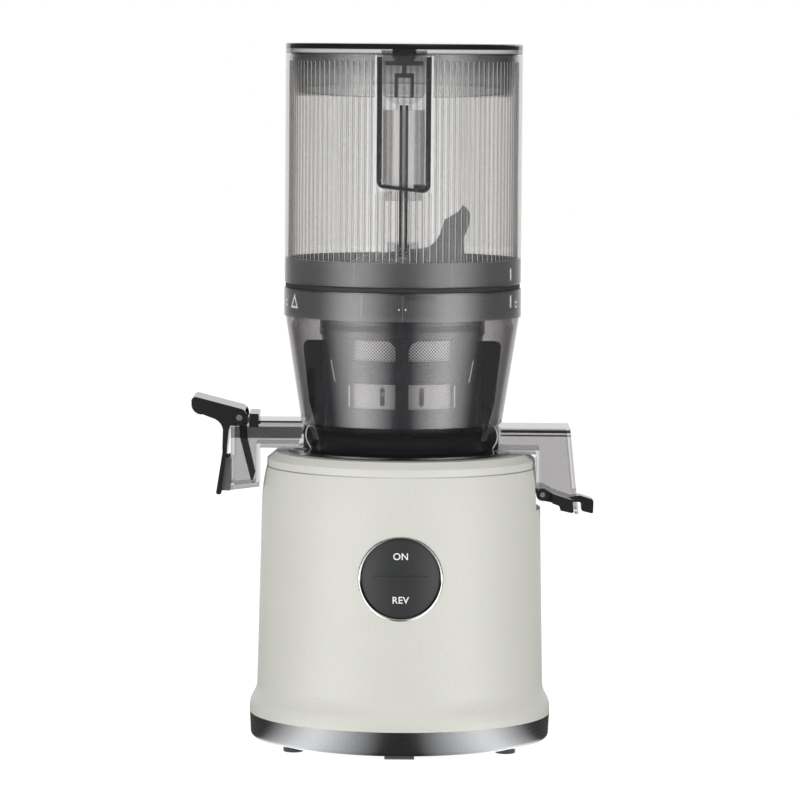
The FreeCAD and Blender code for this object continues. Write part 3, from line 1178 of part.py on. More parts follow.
def front_panel(half, y0, y1, foot, top):
    """A block at the hopper's front whose lower edge slopes a little and has round corners."""
    r = 5.0
    drop = FRAME_SLOPE / 2
    return slab((-half, top), [
        (-half, foot + drop + r),
        ((-half + 0.29 * r, foot + drop + 0.29 * r), (-half + r, foot + drop)),
        (half - r, foot - drop),
        ((half - 0.29 * r, foot - drop + 0.29 * r), (half, foot - drop + r)),
        (half, top),
    ], (y1 - y0) / 2, (y0 + y1) / 2)


def hopper_wall():
    """The clear fluted tube, with a smooth sunk panel over the interlock and the column below it."""
    wall = disc(HOPPER_RADIUS, HOPPER_FOOT, HOPPER_RIM)
    wall = wall.cut([scallops(HOPPER_FOOT, RIB_TOP), disc(HOPPER_VALLEY, RIB_TOP - 0.5, HOPPER_RIM)])
    panel = front_panel(WINDOW_HALF, -LARGE, ROD_Y, WINDOW_FOOT, LARGE)
    sunk = panel.cut(disc(HOPPER_RADIUS - WINDOW_SINK, 0, LARGE))
    smooth = front_panel(WINDOW_HALF, -LARGE, -FRAME_BACK, WINDOW_FOOT, HOPPER_RIM)
    wall = wall.fuse(smooth.common(tube(HOPPER_RADIUS - 0.2, HOPPER_CREST, HOPPER_FOOT, HOPPER_RIM))).cut(sunk)
    half, back = COLUMN_HALF, -COLUMN_BACK
    column = block(-half, half, -HOPPER_RADIUS, back, FUNNEL_Z, CHANNEL_FOOT - FRAME_SLOPE / 2 - EASY_GAP)
    column = column.cut(block(-half + COLUMN_WALL, half - COLUMN_WALL, -HOPPER_RADIUS - 1, back - COLUMN_WALL, 0, LARGE))
    column = column.common(disc(HOPPER_CREST + 0.5, HOPPER_FOOT, LARGE).fuse(disc(HOPPER_CREST, 0, LARGE)))
    floor = turned((0, 0), [(HOPPER_CREST, 0), (HOPPER_CREST, HOPPER_FOOT - 4), *funnel_curve(), (0, FUNNEL_Z)])
    wall = wall.fuse(column.cut(floor))
    ears = []
    for side in (-1, 1):
        low, high = sorted((side * (HINGE_HALF + EASY_GAP), side * (HINGE_HALF + EASY_GAP + HINGE_EAR)))
        ears.append(rod_along_x(HINGE_RADIUS, HINGE_Y, HINGE_Z, low, high))
        ears.append(block(low, high, HOPPER_VALLEY - 1.0, HINGE_Y + HINGE_RADIUS, HINGE_Z - 8, HINGE_Z))
    ears = [ear.cut(disc(HOPPER_VALLEY, 0, LARGE)) for ear in ears]
    rim = tube(LARGE, HOPPER_VALLEY - 1, HOPPER_RIM, LARGE).common(disc(HINGE_Y - HINGE_RADIUS, 0, LARGE))
    return wall.fuse([ear.cut(rim) for ear in ears]).cut(rod_along_x(HINGE_PIN_RADIUS, HINGE_Y, HINGE_Z, -30, 30))


def channel_trough(half, back, foot, top):
    return front_panel(half, -HOPPER_CREST, -back, foot, top)


def channel_frame():
    """The dark trough inside the hopper's front that the lid's key drops into. It is open above."""
    trough = channel_trough(FRAME_OUTER, FRAME_BACK, CHANNEL_FOOT, HOPPER_RIM - 1.0)
    space = channel_trough(FRAME_OUTER - FRAME_WALL, FRAME_BACK + FRAME_BACK_WALL, CHANNEL_FOOT + FRAME_WALL, LARGE)
    trough = trough.cut(space).common(disc(HOPPER_CREST, 0, LARGE))
    return trough.cut(disc(ROD_RADIUS + RUN_GAP, 0, LARGE, 0, ROD_Y))


def guide_tube():
    """The clear sleeve round the interlock rod, standing on the channel's foot."""
    sleeve = disc(GUIDE_TUBE_RADIUS, CHANNEL_FOOT, GUIDE_TUBE_TOP, 0, ROD_Y)
    sleeve = sleeve.cut(disc(GUIDE_TUBE_RADIUS - GUIDE_TUBE_WALL, CHANNEL_FOOT, GUIDE_TUBE_TOP, 0, ROD_Y))
    inside = channel_trough(FRAME_OUTER - FRAME_WALL, FRAME_BACK + FRAME_BACK_WALL, CHANNEL_FOOT + FRAME_WALL, LARGE)
    return sleeve.common(inside).common(disc(HOPPER_CREST, 0, LARGE))


def rod_collar():
    """The dark collar under the channel that guides the rod."""
    collar = disc(COLLAR_HALF, COLLAR_BOTTOM, CHANNEL_FOOT + 4, 0, ROD_Y)
    collar = collar.cut(channel_trough(FRAME_OUTER, FRAME_BACK, CHANNEL_FOOT, LARGE))
    keep = block(-LARGE, LARGE, -LARGE, -COLUMN_BACK - COLUMN_WALL, 0, LARGE)
    return collar.common(keep).cut(disc(ROD_RADIUS + RUN_GAP, 0, LARGE, 0, ROD_Y))


def spring_cup():
    """The cup at the foot of the column that holds the rod's spring."""
    cup = disc(CUP_RADIUS, CUP_BOTTOM, CUP_TOP, 0, ROD_Y)
    cup = cup.cut(disc(CUP_BORE, CUP_BOTTOM + CUP_WALL, CUP_TOP - CUP_WALL, 0, ROD_Y))
    cup = cup.cut(disc(ROD_RADIUS + RUN_GAP, CUP_TOP - 2 * CUP_WALL, CUP_TOP, 0, ROD_Y))
    return cup.common(block(-LARGE, LARGE, -LARGE, -COLUMN_BACK - COLUMN_WALL, 0, LARGE))


def interlock_rod():
    rod = disc(ROD_RADIUS, ROD_BOTTOM, ROD_TOP, 0, ROD_Y)
    return rod.fuse(disc(ROD_FLANGE_RADIUS, ROD_FLANGE[0], ROD_FLANGE[1], 0, ROD_Y))


def rod_spring():
    """A coil between the cup's floor and the rod's flange. The source checks the gap between turns."""
    bottom = CUP_BOTTOM + CUP_WALL + SPRING_WIRE + 0.05
    top = ROD_FLANGE[0] - SPRING_WIRE - 0.05
    pitch = (top - bottom) / SPRING_TURNS
    spine = Part.Wire(Part.makeHelix(pitch, top - bottom, SPRING_RADIUS).Edges)
    ring = Part.Wire(Part.makeCircle(SPRING_WIRE, V(SPRING_RADIUS, 0, 0), V(0, 1, pitch / (2 * math.pi * SPRING_RADIUS))))
    coil = spine.makePipeShell([ring], True, True)
    coil.translate(V(0, ROD_Y, bottom))
    print("least gap between the spring's turns:", round(pitch - 2 * SPRING_WIRE, 2), "mm")
    return coil


def lid_panel():
    """The clear lower half of the lid: a thin rim, a plate and the skirt inside the hopper."""
    plate = LID_SPLIT - LID_PLATE
    rim = turned((0, plate), [
        (LID_SKIRT_TOP_RADIUS - LID_SKIRT_WALL, plate),
        (LID_SKIRT_FOOT_RADIUS - LID_SKIRT_WALL, LID_SKIRT_BOTTOM),
        (LID_SKIRT_FOOT_RADIUS, LID_SKIRT_BOTTOM),
        (LID_SKIRT_TOP_RADIUS, plate - 0.4),
        (LID_SKIRT_TOP_RADIUS, LID_BOTTOM),
        (LID_RADIUS, LID_BOTTOM),
        (LID_RADIUS, LID_SPLIT),
        (0, LID_SPLIT),
    ])
    gap = FRAME_OUTER + 0.5
    rim = rim.cut(block(-gap, gap, -LARGE, -FRAME_BACK + 1, LID_SKIRT_BOTTOM - 1, HOPPER_RIM))
    half, r = KEY_HALF, KEY_ROUND
    key = slab((-half, plate + 0.5), [
        (-half, KEY_BOTTOM + r),
        ((-half + 0.29 * r, KEY_BOTTOM + 0.29 * r), (-half + r, KEY_BOTTOM)),
        (half - r, KEY_BOTTOM),
        ((half - 0.29 * r, KEY_BOTTOM + 0.29 * r), (half, KEY_BOTTOM + r)),
        (half, plate + 0.5),
    ], (KEY_BACK - KEY_FRONT) / 2, (KEY_BACK + KEY_FRONT) / 2)
    half, r, low = KEY_HALF - KEY_WALL, KEY_ROUND - KEY_WALL, KEY_BOTTOM + KEY_WALL
    room = slab((-half, plate), [
        (-half, low + r),
        ((-half + 0.29 * r, low + 0.29 * r), (-half + r, low)),
        (half - r, low),
        ((half - 0.29 * r, low + 0.29 * r), (half, low + r)),
        (half, plate),
    ], (KEY_BACK - KEY_FRONT) / 2, (KEY_BACK + KEY_FRONT) / 2 + KEY_WALL)
    return rim.fuse(key.cut(room))


def lid_catch():
    """The dark cross-bar and spring clip inside the lid's key."""
    inner = KEY_HALF - KEY_WALL
    y = (KEY_BACK + KEY_FRONT) / 2
    bar = rod_along_x(CATCH_RADIUS, y, CATCH_Z, -inner, inner)
    pieces = [
        block(-6.2, 6.2, y - 2.5, y + 2.5, CATCH_Z + 1.2, LID_SPLIT - LID_PLATE),
        block(-1.4, 1.4, y - 1.2, y + 1.2, CATCH_Z - 7.6, CATCH_Z),
        block(-6.2, 6.2, y - 1.2, y + 1.2, CATCH_Z - 9.2, CATCH_Z - 6.2),
        block(-6.2, -4.0, y - 1.2, y + 1.2, CATCH_Z - 21.6, CATCH_Z - 8.6),
        block(4.0, 6.2, y - 1.2, y + 1.2, CATCH_Z - 21.6, CATCH_Z - 8.6),
    ]
    return bar.fuse(pieces)


def lid_cover():
    """The dark top of the lid, slightly domed, with the hinge knuckle at the back."""
    edge = LID_RADIUS + 0.1
    cover = turned((0, LID_SPLIT), [
        (edge, LID_SPLIT),
        (edge, LID_TOP - 1.2),
        ((edge - 0.35, LID_TOP - 0.35), (edge - 1.2, LID_TOP)),
        ((edge / 2, LID_TOP + 0.75 * LID_CROWN), (2, LID_TOP + LID_CROWN)),
        (0, LID_TOP + LID_CROWN),
    ])
    knuckle = rod_along_x(HINGE_RADIUS, HINGE_Y, HINGE_Z, -HINGE_HALF, HINGE_HALF)
    tab = block(-HINGE_HALF, HINGE_HALF, LID_RADIUS + EASY_GAP, HINGE_Y, HINGE_Z, HINGE_Z + HINGE_RADIUS)
    root = block(-HINGE_HALF, HINGE_HALF, LID_RADIUS - 5, HINGE_Y, LID_SPLIT, HINGE_Z + HINGE_RADIUS)
    return cover.fuse([knuckle, tab, root]).cut(rod_along_x(HINGE_PIN_RADIUS + RUN_GAP, HINGE_Y, HINGE_Z, -30, 30))


def lid_hinge_pin():
    half = HINGE_HALF + EASY_GAP + HINGE_EAR
    return rod_along_x(HINGE_PIN_RADIUS, HINGE_Y, HINGE_Z, -half, half)


NODES = {
    "base_shell": base_shell,
    "base_top_cover": base_top_cover,
    "base_trim": base_trim,
    "bottom_cover": bottom_cover,
    "rubber_feet": rubber_feet,
    "bottom_screws": bottom_screws,
    "cord_gland": cord_gland,
    "button_bezel": button_bezel,
    "button_disc": button_disc,
    "button_pivot": button_pivot,
    "button_housing": button_housing,
    "switch_board": switch_board,
    "push_switches": push_switches,
    "control_board": control_board,
    "board_parts": board_parts,
    "motor_can": motor_can,
    "motor_bearings": motor_bearings,
    "stator": stator,
    "stator_coils": stator_coils,
    "rotor": rotor,
    "motor_shaft": motor_shaft,
    "cooling_fan": cooling_fan,
    "gearbox_case": gearbox_case,
    "gearbox_lid": gearbox_lid,
    "gearbox_screws": gearbox_screws,
    "lay_pin": lay_pin,
    "lay_gear": lay_gear,
    "output_gear": output_gear,
    "output_shaft": output_shaft,
    "shaft_bearing": shaft_bearing,
    "shaft_seal": shaft_seal,
    "chassis_plate": chassis_plate,
    "chassis_screws": chassis_screws,
    "juice_drum": juice_drum,
    "tube_seal": tube_seal,
    "spout_leaf": spout_leaf,
    "lever_bracket": lever_bracket,
    "juice_lever": juice_lever,
    "lever_seal": lever_seal,
    "juice_lever_pin": lambda: lever_pin(LEVER_PIN_RADIUS, LEVER_HEAD_RADIUS, LEVER_PIVOT_X, LEVER_PIVOT_Z,
                                         SPOUT_HALF + EASY_GAP + LEVER_ARM + 0.8),
    "pulp_lever": pulp_lever,
    "pulp_lever_pin": lambda: rod_along_y(PULP_PIN_RADIUS, PULP_PIVOT_X, PULP_PIVOT_Z, -CHUTE_HALF, CHUTE_HALF),
    "strainer_frame": strainer_frame,
    "strainer_mesh": strainer_mesh,
    "auger": auger,
    "auger_socket": auger_socket,
    "hopper_ring": hopper_ring,
    "hopper_seal": hopper_seal,
    "hopper_wall": hopper_wall,
    "channel_frame": channel_frame,
    "guide_tube": guide_tube,
    "rod_collar": rod_collar,
    "spring_cup": spring_cup,
    "interlock_rod": interlock_rod,
    "rod_spring": rod_spring,
    "lid_panel": lid_panel,
    "lid_catch": lid_catch,
    "lid_cover": lid_cover,
    "lid_hinge_pin": lid_hinge_pin,
}


def main():
    os.makedirs("parts", exist_ok=True)
    for name, build in NODES.items():
        made = build()
        solids = made if isinstance(made, list) else made.Solids
        solids = [solid.removeSplitter() for solid in solids]
        for solid in solids:
            if not solid.isValid() or solid.Volume <= 0:
                raise ValueError("a solid of " + name + " is not valid")
        shape = solids[0] if len(solids) == 1 else Part.makeCompound(solids)
        shape.exportStep(os.path.join("parts", name + ".step"))
        print(name, len(shape.Solids), "solids", round(shape.Volume / 1000, 2), "cm3")


main()
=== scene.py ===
import math

import bpy
from mathutils import Matrix, Vector


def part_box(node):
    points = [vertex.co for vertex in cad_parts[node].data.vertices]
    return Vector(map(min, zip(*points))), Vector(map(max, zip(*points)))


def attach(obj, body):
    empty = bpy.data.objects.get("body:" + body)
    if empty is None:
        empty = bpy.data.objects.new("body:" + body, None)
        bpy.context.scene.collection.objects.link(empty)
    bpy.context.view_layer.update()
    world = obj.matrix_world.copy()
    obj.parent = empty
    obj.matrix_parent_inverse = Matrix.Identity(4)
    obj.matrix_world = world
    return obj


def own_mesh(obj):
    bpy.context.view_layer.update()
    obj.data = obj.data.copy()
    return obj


bl_info = {
    "name": "Cold Press Juicer",
    "version": (1, 0, 0),
    "blender": (4, 5, 0),
    "location": "View3D > Sidebar > Juicer",
    "description": "Finishes, printed marks and studio for a cold press juicer",
    "category": "Object",
}

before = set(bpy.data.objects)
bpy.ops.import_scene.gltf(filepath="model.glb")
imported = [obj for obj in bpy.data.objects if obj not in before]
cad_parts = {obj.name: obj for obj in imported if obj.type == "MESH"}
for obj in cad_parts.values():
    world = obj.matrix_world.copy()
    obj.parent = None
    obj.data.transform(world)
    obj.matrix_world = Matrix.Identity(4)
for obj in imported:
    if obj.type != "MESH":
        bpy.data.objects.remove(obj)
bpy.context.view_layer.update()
MM = 0.001
WHITE = (1.0, 1.0, 1.0, 1.0)
FLUTES = 108             # ribs round the inside of the hopper
SLEEVE_RADIUS = 49.4 * MM
BEZEL_RADIUS = 26.4 * MM
BEZEL_WIDTH = 1.4 * MM
SMOOTH_ANGLE = 0.5       # faces that meet at less are shaded as one
CAPITAL_SHARE = 0.70     # a capital's height over its letter size
STROKE_SHARE = 0.017     # what thickens a stroke, over the capital's height
LETTER_SPACING = 1.04


# Sizes and colours that a user may change

def colour(name, text, value):
    return bpy.props.FloatVectorProperty(
        name=name, description=text, default=value, size=3, min=0.0, max=1.0, subtype="COLOR")


def length(name, text, value):
    return bpy.props.FloatProperty(name=name, description=text, default=value, unit="LENGTH", precision=5)


def angle(name, text, degrees):
    return bpy.props.FloatProperty(
        name=name, description=text, default=math.radians(degrees), subtype="ANGLE")


class JuicerColours(bpy.types.PropertyGroup):
    """Colours of the juicer's plastics and metals."""
    casing: colour("Casing", "Moulded casing of the base", (0.640, 0.640, 0.588))
    fleck: colour("Fleck", "Fine flecks in the casing", (0.36, 0.35, 0.29))
    trim: colour("Trim band", "Painted metal band round the foot", (0.165, 0.168, 0.172))
    button: colour("Button", "Rocker disc", (0.030, 0.031, 0.031))
    legend: colour("Legend", "Printed words on the button", (0.86, 0.86, 0.85))
    smoke: colour("Drum", "Clear smoked plastic of the drum", (0.835, 0.828, 0.830))
    ring: colour("Rings", "Dark satin plastic of the rings", (0.50, 0.51, 0.52))
    wall: colour("Hopper", "Clear fluted plastic of the hopper", (0.955, 0.953, 0.950))
    lid: colour("Lid", "Dark smoked lid", (0.12, 0.12, 0.125))
    channel: colour("Channel", "Smoked trough and collar inside the hopper", (0.95, 0.95, 0.955))
    lever: colour("Levers", "Black gloss levers", (0.016, 0.016, 0.017))
    strainer: colour("Strainer", "Dark cage of the strainer", (0.046, 0.053, 0.062))
    auger: colour("Auger", "Press screw", (0.235, 0.245, 0.255))
    # the marks' colour is their painted highlight where they face outward
    mark: colour("Marks", "Raised marks on the rings", (0.62, 0.62, 0.62))


class JuicerSizes(bpy.types.PropertyGroup):
    """Sizes of the printed marks and of the view."""
    legend_height: length("Legend height", "Height of the capitals on the button", 0.0043)
    legend_spread: length("Legend spread", "Height of a word above or below the button's bar", 0.0139)
    print_depth: length("Print thickness", "How far print stands proud", 0.00008)
    mark_height: length("Mark height", "Height of the marks on the rings", 0.0085)
    view_distance: length("View distance", "From the machine's axis to the camera", 2.95)
    view_height: length("View height", "Height of the camera", 0.460)
    view_shift: length("View offset", "How far the camera stands left of the axis", 0.0012)
    view_pitch: angle("View pitch", "Downward tilt of the camera", 4.594)
    view_roll: angle("View roll", "Roll of the camera", 0.43)
    lens: bpy.props.FloatProperty(
        name="Lens", description="Focal length for a 36 mm sensor", default=203.98, unit="CAMERA")
    floor: length("Floor", "Width of the studio floor", 14.0)


# Short ways to write colours and node trees

def grey(value):
    return value, value, value


def shade(tone, amount):
    """A colour made darker or lighter."""
    return tuple(min(1.0, c * amount) for c in tone)


class Recipe:
    """The node tree of a new material, or of the world that is handed in."""

    def __init__(self, name, world=None):
        self.block = world or bpy.data.materials.new(name)
        self.block.use_nodes = True
        self.tree = self.block.node_tree
        self.tree.nodes.clear()
        self.output = "ShaderNodeOutputWorld" if world else "ShaderNodeOutputMaterial"
        self.place = self.node("ShaderNodeTexCoord").outputs["Generated" if world else "Object"]

    def node(self, kind, inputs=None, **settings):
        made = self.tree.nodes.new(kind)
        for key, value in settings.items():
            setattr(made, key, value)
        for key, value in (inputs or {}).items():
            if isinstance(value, bpy.types.NodeSocket):
                self.tree.links.new(value, made.inputs[key])
            else:
                made.inputs[key].default_value = value
        return made

    def maths(self, operation, a, b=0.5, clamp=False):
        return self.node("ShaderNodeMath", {0: a, 1: b}, operation=operation, use_clamp=clamp).outputs[0]

    def times(self, *values):
        """Two or more values multiplied."""
        product = values[0]
        for value in values[1:]:
            product = self.maths("MULTIPLY", product, value)
        return product

    def noise(self, scale, detail=2.0, rough=0.5, vector=None):
        return self.node("ShaderNodeTexNoise", {
            "Vector": vector or self.place, "Scale": scale, "Detail": detail, "Roughness": rough}).outputs[0]

    def spread(self, value, low, high, to_low=0.0, to_high=1.0):
        """Moves from one value to another while the given one goes from low to high."""
        return self.node("ShaderNodeMapRange", {
            0: value, 1: low, 2: high, 3: to_low, 4: to_high}).outputs[0]

    def fall(self, value, low, high):
        """1 up to low and 0 from high on."""
        return self.spread(value, low, high, 1.0, 0.0)

    def within(self, value, low, high, soft=0.0001):
        """1 where a value lies between two others."""
        return self.times(self.spread(value, low - soft, low + soft),
                          self.fall(value, high - soft, high + soft))

    def blend(self, amount, first, second):
        """Colours first to second by amount."""
        first, second = (c if isinstance(c, bpy.types.NodeSocket) else (*c[:3], 1.0) for c in (first, second))
        # a Mix node keeps its colours in sockets 6 and 7 and gives the result in its third output
        return self.node("ShaderNodeMix", {0: amount, 6: first, 7: second}, data_type="RGBA").outputs[2]

    def bump(self, height, depth, strength=1.0):
        return self.node("ShaderNodeBump", {
            "Height": height, "Distance": depth, "Strength": strength}).outputs[0]

    def gloss(self, grain, low, high):
        """Roughness that a grain moves between two values."""
        return self.spread(grain, 0.3, 0.7, low, high)

    def apart(self, kind, value):
        """The three values that a place or a colour holds."""
        made = self.node(kind, {0: value})
        return made.outputs[0], made.outputs[1], made.outputs[2]

    def axes(self):
        """The coordinates one by one."""
        return self.apart("ShaderNodeSeparateXYZ", self.place)

    def reach(self, x, y, middle_y=0.0):
        """How far a point lies from an axis."""
        return self.maths("SQRT", self.maths("ADD", self.maths("POWER", x, 2.0), self.maths(
            "POWER", self.maths("SUBTRACT", y, middle_y), 2.0)))

    def turn(self, x, y):
        """Angle round the upright axis, from the front to the right."""
        return self.maths("ARCTAN2", x, self.times(y, -1.0))

    def ahead(self, y, plane):
        """1 on what lies in front of a plane across the machine."""
        return self.fall(y, plane - 0.1 * MM, plane)

    def mix(self, amount, first, second):
        """Shader first to shader second by amount."""
        return self.node("ShaderNodeMixShader", {0: amount, 1: first.outputs[0], 2: second.outputs[0]})

    def opaque(self, base, gloss, normal, metal=0.0):
        """Finishes the tree with a surface that no light goes through."""
        return self.finish(self.node("ShaderNodeBsdfPrincipled", {
            "Base Color": base, "Roughness": gloss, "Metallic": metal, "Normal": normal}))

    def finish(self, shader):
        self.node(self.output, {"Surface": shader.outputs[0]})
        return self.block


# Finishes

def plastic(name, tone, rough, grain=2200.0, depth=0.00003, metal=0.0, waver=0.05):
    """Moulded or painted surface: slow waver of tone, fine grain in gloss and height."""
    r = Recipe(name)
    slow, fine = r.noise(38.0, 3.0), r.noise(grain)
    both = r.maths("ADD", r.times(slow, 0.6), r.times(fine, 0.4))
    base = r.blend(both, shade(tone, 1 - waver), shade(tone, 1 + waver))
    gloss = r.gloss(fine, rough * 0.88, min(1.0, rough * 1.12))
    return r.opaque(base, gloss, r.bump(fine, depth), metal)


def speckled(name, tone, fleck):
    """Matt moulding with fine dark and a few pale flecks, and a dark line at the seam under the top cover,
    partly the joint and partly painted shade in its gap.
    """
    r = Recipe(name)
    flecks_per_metre = 900.0
    cells = r.node("ShaderNodeTexVoronoi", {"Vector": r.place, "Scale": flecks_per_metre}, feature="F1")
    near = r.fall(cells.outputs["Distance"], 0.16, 0.34)
    chance = r.apart("ShaderNodeSeparateColor", cells.outputs["Color"])
    dark = r.times(near, r.spread(chance[0], 0.72, 0.86))
    pale = r.times(near, r.spread(chance[1], 0.90, 0.97))
    base = r.blend(r.noise(24.0, 3.0), shade(tone, 0.975), shade(tone, 1.02))
    base = r.blend(r.times(dark, 0.40), base, fleck)
    base = r.blend(r.times(pale, 0.45), base, (0.84, 0.84, 0.79))
    x, _, z = r.axes()
    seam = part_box("base_shell")[1].z
    # dark line along the seam: partly the joint, partly painted shade in its gap, stronger towards the sides
    line = r.times(r.within(z, seam - 0.55 * MM, seam + 0.25 * MM),
                   r.spread(r.maths("ABSOLUTE", x), 0.0, 70 * MM, 0.15, 0.80))
    base = r.blend(line, base, (0.13, 0.13, 0.10))
    grain = r.noise(2600.0)
    return r.opaque(base, r.gloss(grain, 0.36, 0.46), r.bump(grain, 0.00004, 0.7))


def see_through(r, tone, body, haze=0.03, rough=0.05, mirror=0.045, thin=0.07, grain=0.0, rim=None):
    """See-through plastic. It takes the tone's share of light at each face, more where the wall is seen
    edge on, and mirrors more there too. Body is its own colour, rim the painted sheen that it turns to edge
    on, and haze how much of it shows. Thin is the slant past which a wall looks no deeper, and grain roughens
    its face."""
    facing = r.node("ShaderNodeLayerWeight", {"Blend": 0.5}).outputs["Facing"]
    along = r.maths("DIVIDE", 1.0, r.maths("MAXIMUM", r.maths("SUBTRACT", 1.0, facing), thin))
    if isinstance(tone, bpy.types.NodeSocket):
        tone = r.apart("ShaderNodeSeparateColor", tone)
    parts = [r.maths("POWER", c, along) for c in tone]
    through = r.node("ShaderNodeCombineColor", {0: parts[0], 1: parts[1], 2: parts[2]}).outputs[0]
    window = r.node("ShaderNodeBsdfTransparent", {"Color": through})
    own = body
    if not isinstance(body, bpy.types.NodeSocket):
        own = r.blend(r.noise(45.0), shade(body, 0.88), body)
    # edge on, the body turns to rim: a painted sheen
    if rim:
        own = r.blend(r.maths("POWER", facing, 2.0), own, rim)
    film = r.mix(haze, window, r.node("ShaderNodeBsdfDiffuse", {"Color": own}))
    sheen = r.maths("ADD", mirror, r.times(r.maths("POWER", facing, 5.0), 1.0 - mirror), clamp=True)
    fine = r.noise(1900.0)
    shine = r.node("ShaderNodeBsdfGlossy", {
        "Color": WHITE, "Roughness": r.gloss(fine, rough * 0.8, rough * 1.2),
        "Normal": r.bump(fine, 0.00004 * grain, min(1.0, 0.05 + grain))})
    return r.mix(sheen, film, shine)


def clear(name, tone, body, **settings):
    r = Recipe(name)
    return r.finish(see_through(r, tuple(tone), body, **settings))


def fluted(name, tone):
    """The hopper's clear tube. Each inner rib's crest has a painted highlight between two dark lines of
    painted shade. The smooth panel in front has no ribs, and a painted highlight runs down either side of it."""
    r = Recipe(name)
    x, y, z = r.axes()
    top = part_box("lid_panel")[1].z - 3.8 * MM
    panel_foot, panel_half = top - 87.2 * MM, 18.7 * MM
    turn = r.maths("ARCTAN2", y, x)
    steps = r.maths("ADD", r.times(turn, FLUTES / (2 * math.pi)), 2.0 * FLUTES)
    crest = r.times(r.maths("ABSOLUTE", r.maths("SUBTRACT", r.maths("FRACT", steps), 0.5)), 2.0)
    inner = r.within(r.reach(x, y), 73.3 * MM, 75.4 * MM)
    ribs = r.times(inner, r.fall(z, top - 4.2 * MM, top - 3.4 * MM))
    panel = r.times(r.within(x, -panel_half, panel_half), r.ahead(y, -40 * MM),
                    r.spread(z, panel_foot, panel_foot + 0.2 * MM))
    ribs = r.times(ribs, r.maths("SUBTRACT", 1.0, panel))
    edge_in, edge_out = 17.6 * MM, 18.5 * MM
    edges = r.times(r.within(r.maths("ABSOLUTE", x), edge_in, edge_out), r.ahead(y, -50 * MM),
                    r.spread(z, panel_foot - 0.2 * MM, panel_foot))
    # painted highlights on the rib crests and the panel's edges, painted shade beside each crest
    bright = r.maths("MAXIMUM", r.times(edges, 0.9), r.times(ribs, r.spread(crest, 0.84, 0.93)))
    dark = r.times(ribs, r.within(crest, 0.58, 0.82, 0.06))
    line = r.node("ShaderNodeCombineXYZ", {
        0: r.maths("SINE", turn), 1: r.maths("COSINE", turn), 2: 0.0}).outputs[0]
    streak = r.noise(7.0, 4.0, 0.7, vector=line)
    tint = r.blend(r.spread(streak, 0.35, 0.65), tuple(c * k for c, k in zip(tone, (0.97, 0.967, 0.966))),
                   shade(tone, 1.03))
    tint = r.blend(r.times(dark, 0.75), tint, shade(tone, 0.58))
    tint = r.blend(bright, tint, grey(0.97))
    haze = r.maths("ADD", 0.012, r.times(bright, 0.72))
    return r.finish(see_through(r, tint, (0.86, 0.855, 0.85), haze=haze, rough=0.17))


def two_faced(name, tone):
    """Mark on a ring: a painted highlight where it faces outward and painted shade on its flanks."""
    r = Recipe(name)
    x, y, _ = r.axes()
    level = r.node("ShaderNodeCombineXYZ", {0: x, 1: y, 2: 0.0}).outputs[0]
    out = r.node("ShaderNodeVectorMath", {0: level}, operation="NORMALIZE").outputs[0]
    normal = r.node("ShaderNodeTexCoord").outputs["Normal"]
    faced = r.node("ShaderNodeVectorMath", {0: normal, 1: out}, operation="DOT_PRODUCT").outputs["Value"]
    fine = r.noise(2500.0)
    light = r.blend(fine, shade(tone, 0.93), tone)
    # painted highlight on faces that look outward, painted shade on the flanks
    base = r.blend(r.spread(faced, 0.45, 0.80), (0.02, 0.02, 0.021), light)
    return r.opaque(base, r.gloss(fine, 0.32, 0.42), r.bump(fine, 0.00001))


def perforated(name):
    """Steel sleeve with slanting rows of round holes, which are larger in its upper half."""
    r = Recipe(name)
    x, y, z = r.axes()
    across = r.times(r.maths("ARCTAN2", y, x), SLEEVE_RADIUS)
    flat = r.node("ShaderNodeCombineXYZ", {0: across, 1: z, 2: 0.0}).outputs[0]
    turned = r.node("ShaderNodeMapping", {"Vector": flat, "Rotation": (0, 0, math.pi / 4)}).outputs[0]
    low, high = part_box("strainer_mesh")
    middle = (low.z + high.z) / 2
    upper = r.spread(z, middle - 1 * MM, middle + 1 * MM)
    holes = []
    for rows_per_metre in (900.0, 650.0):
        cells = r.node("ShaderNodeTexVoronoi", {"Vector": turned, "Scale": rows_per_metre, "Randomness": 0.0},
                       feature="F1", voronoi_dimensions="2D")
        holes.append(r.fall(cells.outputs["Distance"], 0.34, 0.43))
    hole = r.maths("ADD", r.times(holes[0], r.maths("SUBTRACT", 1.0, upper)), r.times(holes[1], upper))
    slow = r.noise(70.0, 3.0)
    base = r.blend(slow, (0.84, 0.83, 0.82), (0.92, 0.91, 0.90))
    # the holes are painted dark, painted shade inside the sleeve, darker in the upper half
    base = r.blend(hole, base, r.blend(upper, (0.26, 0.25, 0.25), grey(0.01)))
    return r.opaque(base, r.gloss(slow, 0.34, 0.44), r.bump(hole, -0.0001), metal=0.35)


def bright_ring(name, middle):
    """Plated ring whose face rolls over from its inner to its outer edge, with painted shade along its inner
    edge.
    """
    r = Recipe(name)
    x, _, z = r.axes()
    off = r.maths("SUBTRACT", r.reach(x, z, middle), BEZEL_RADIUS)
    place = r.maths("DIVIDE", off, BEZEL_WIDTH / 2)
    roll = r.maths("SUBTRACT", 1.0, r.maths("POWER", place, 2.0))
    base = r.blend(r.noise(900.0), grey(0.74), grey(0.80))
    # painted shade along the inner edge, where the ring dips to the disc
    base = r.blend(r.fall(place, -1.0, -0.55), base, grey(0.10))
    return r.opaque(base, r.gloss(r.noise(2500.0), 0.12, 0.18), r.bump(roll, BEZEL_WIDTH * 0.30), metal=1.0)


# Working on pieces

def bare():
    """Object mode with nothing selected."""
    if bpy.context.object and bpy.context.object.mode != "OBJECT":
        bpy.ops.object.mode_set(mode="OBJECT")
    bpy.ops.object.select_all(action="DESELECT")


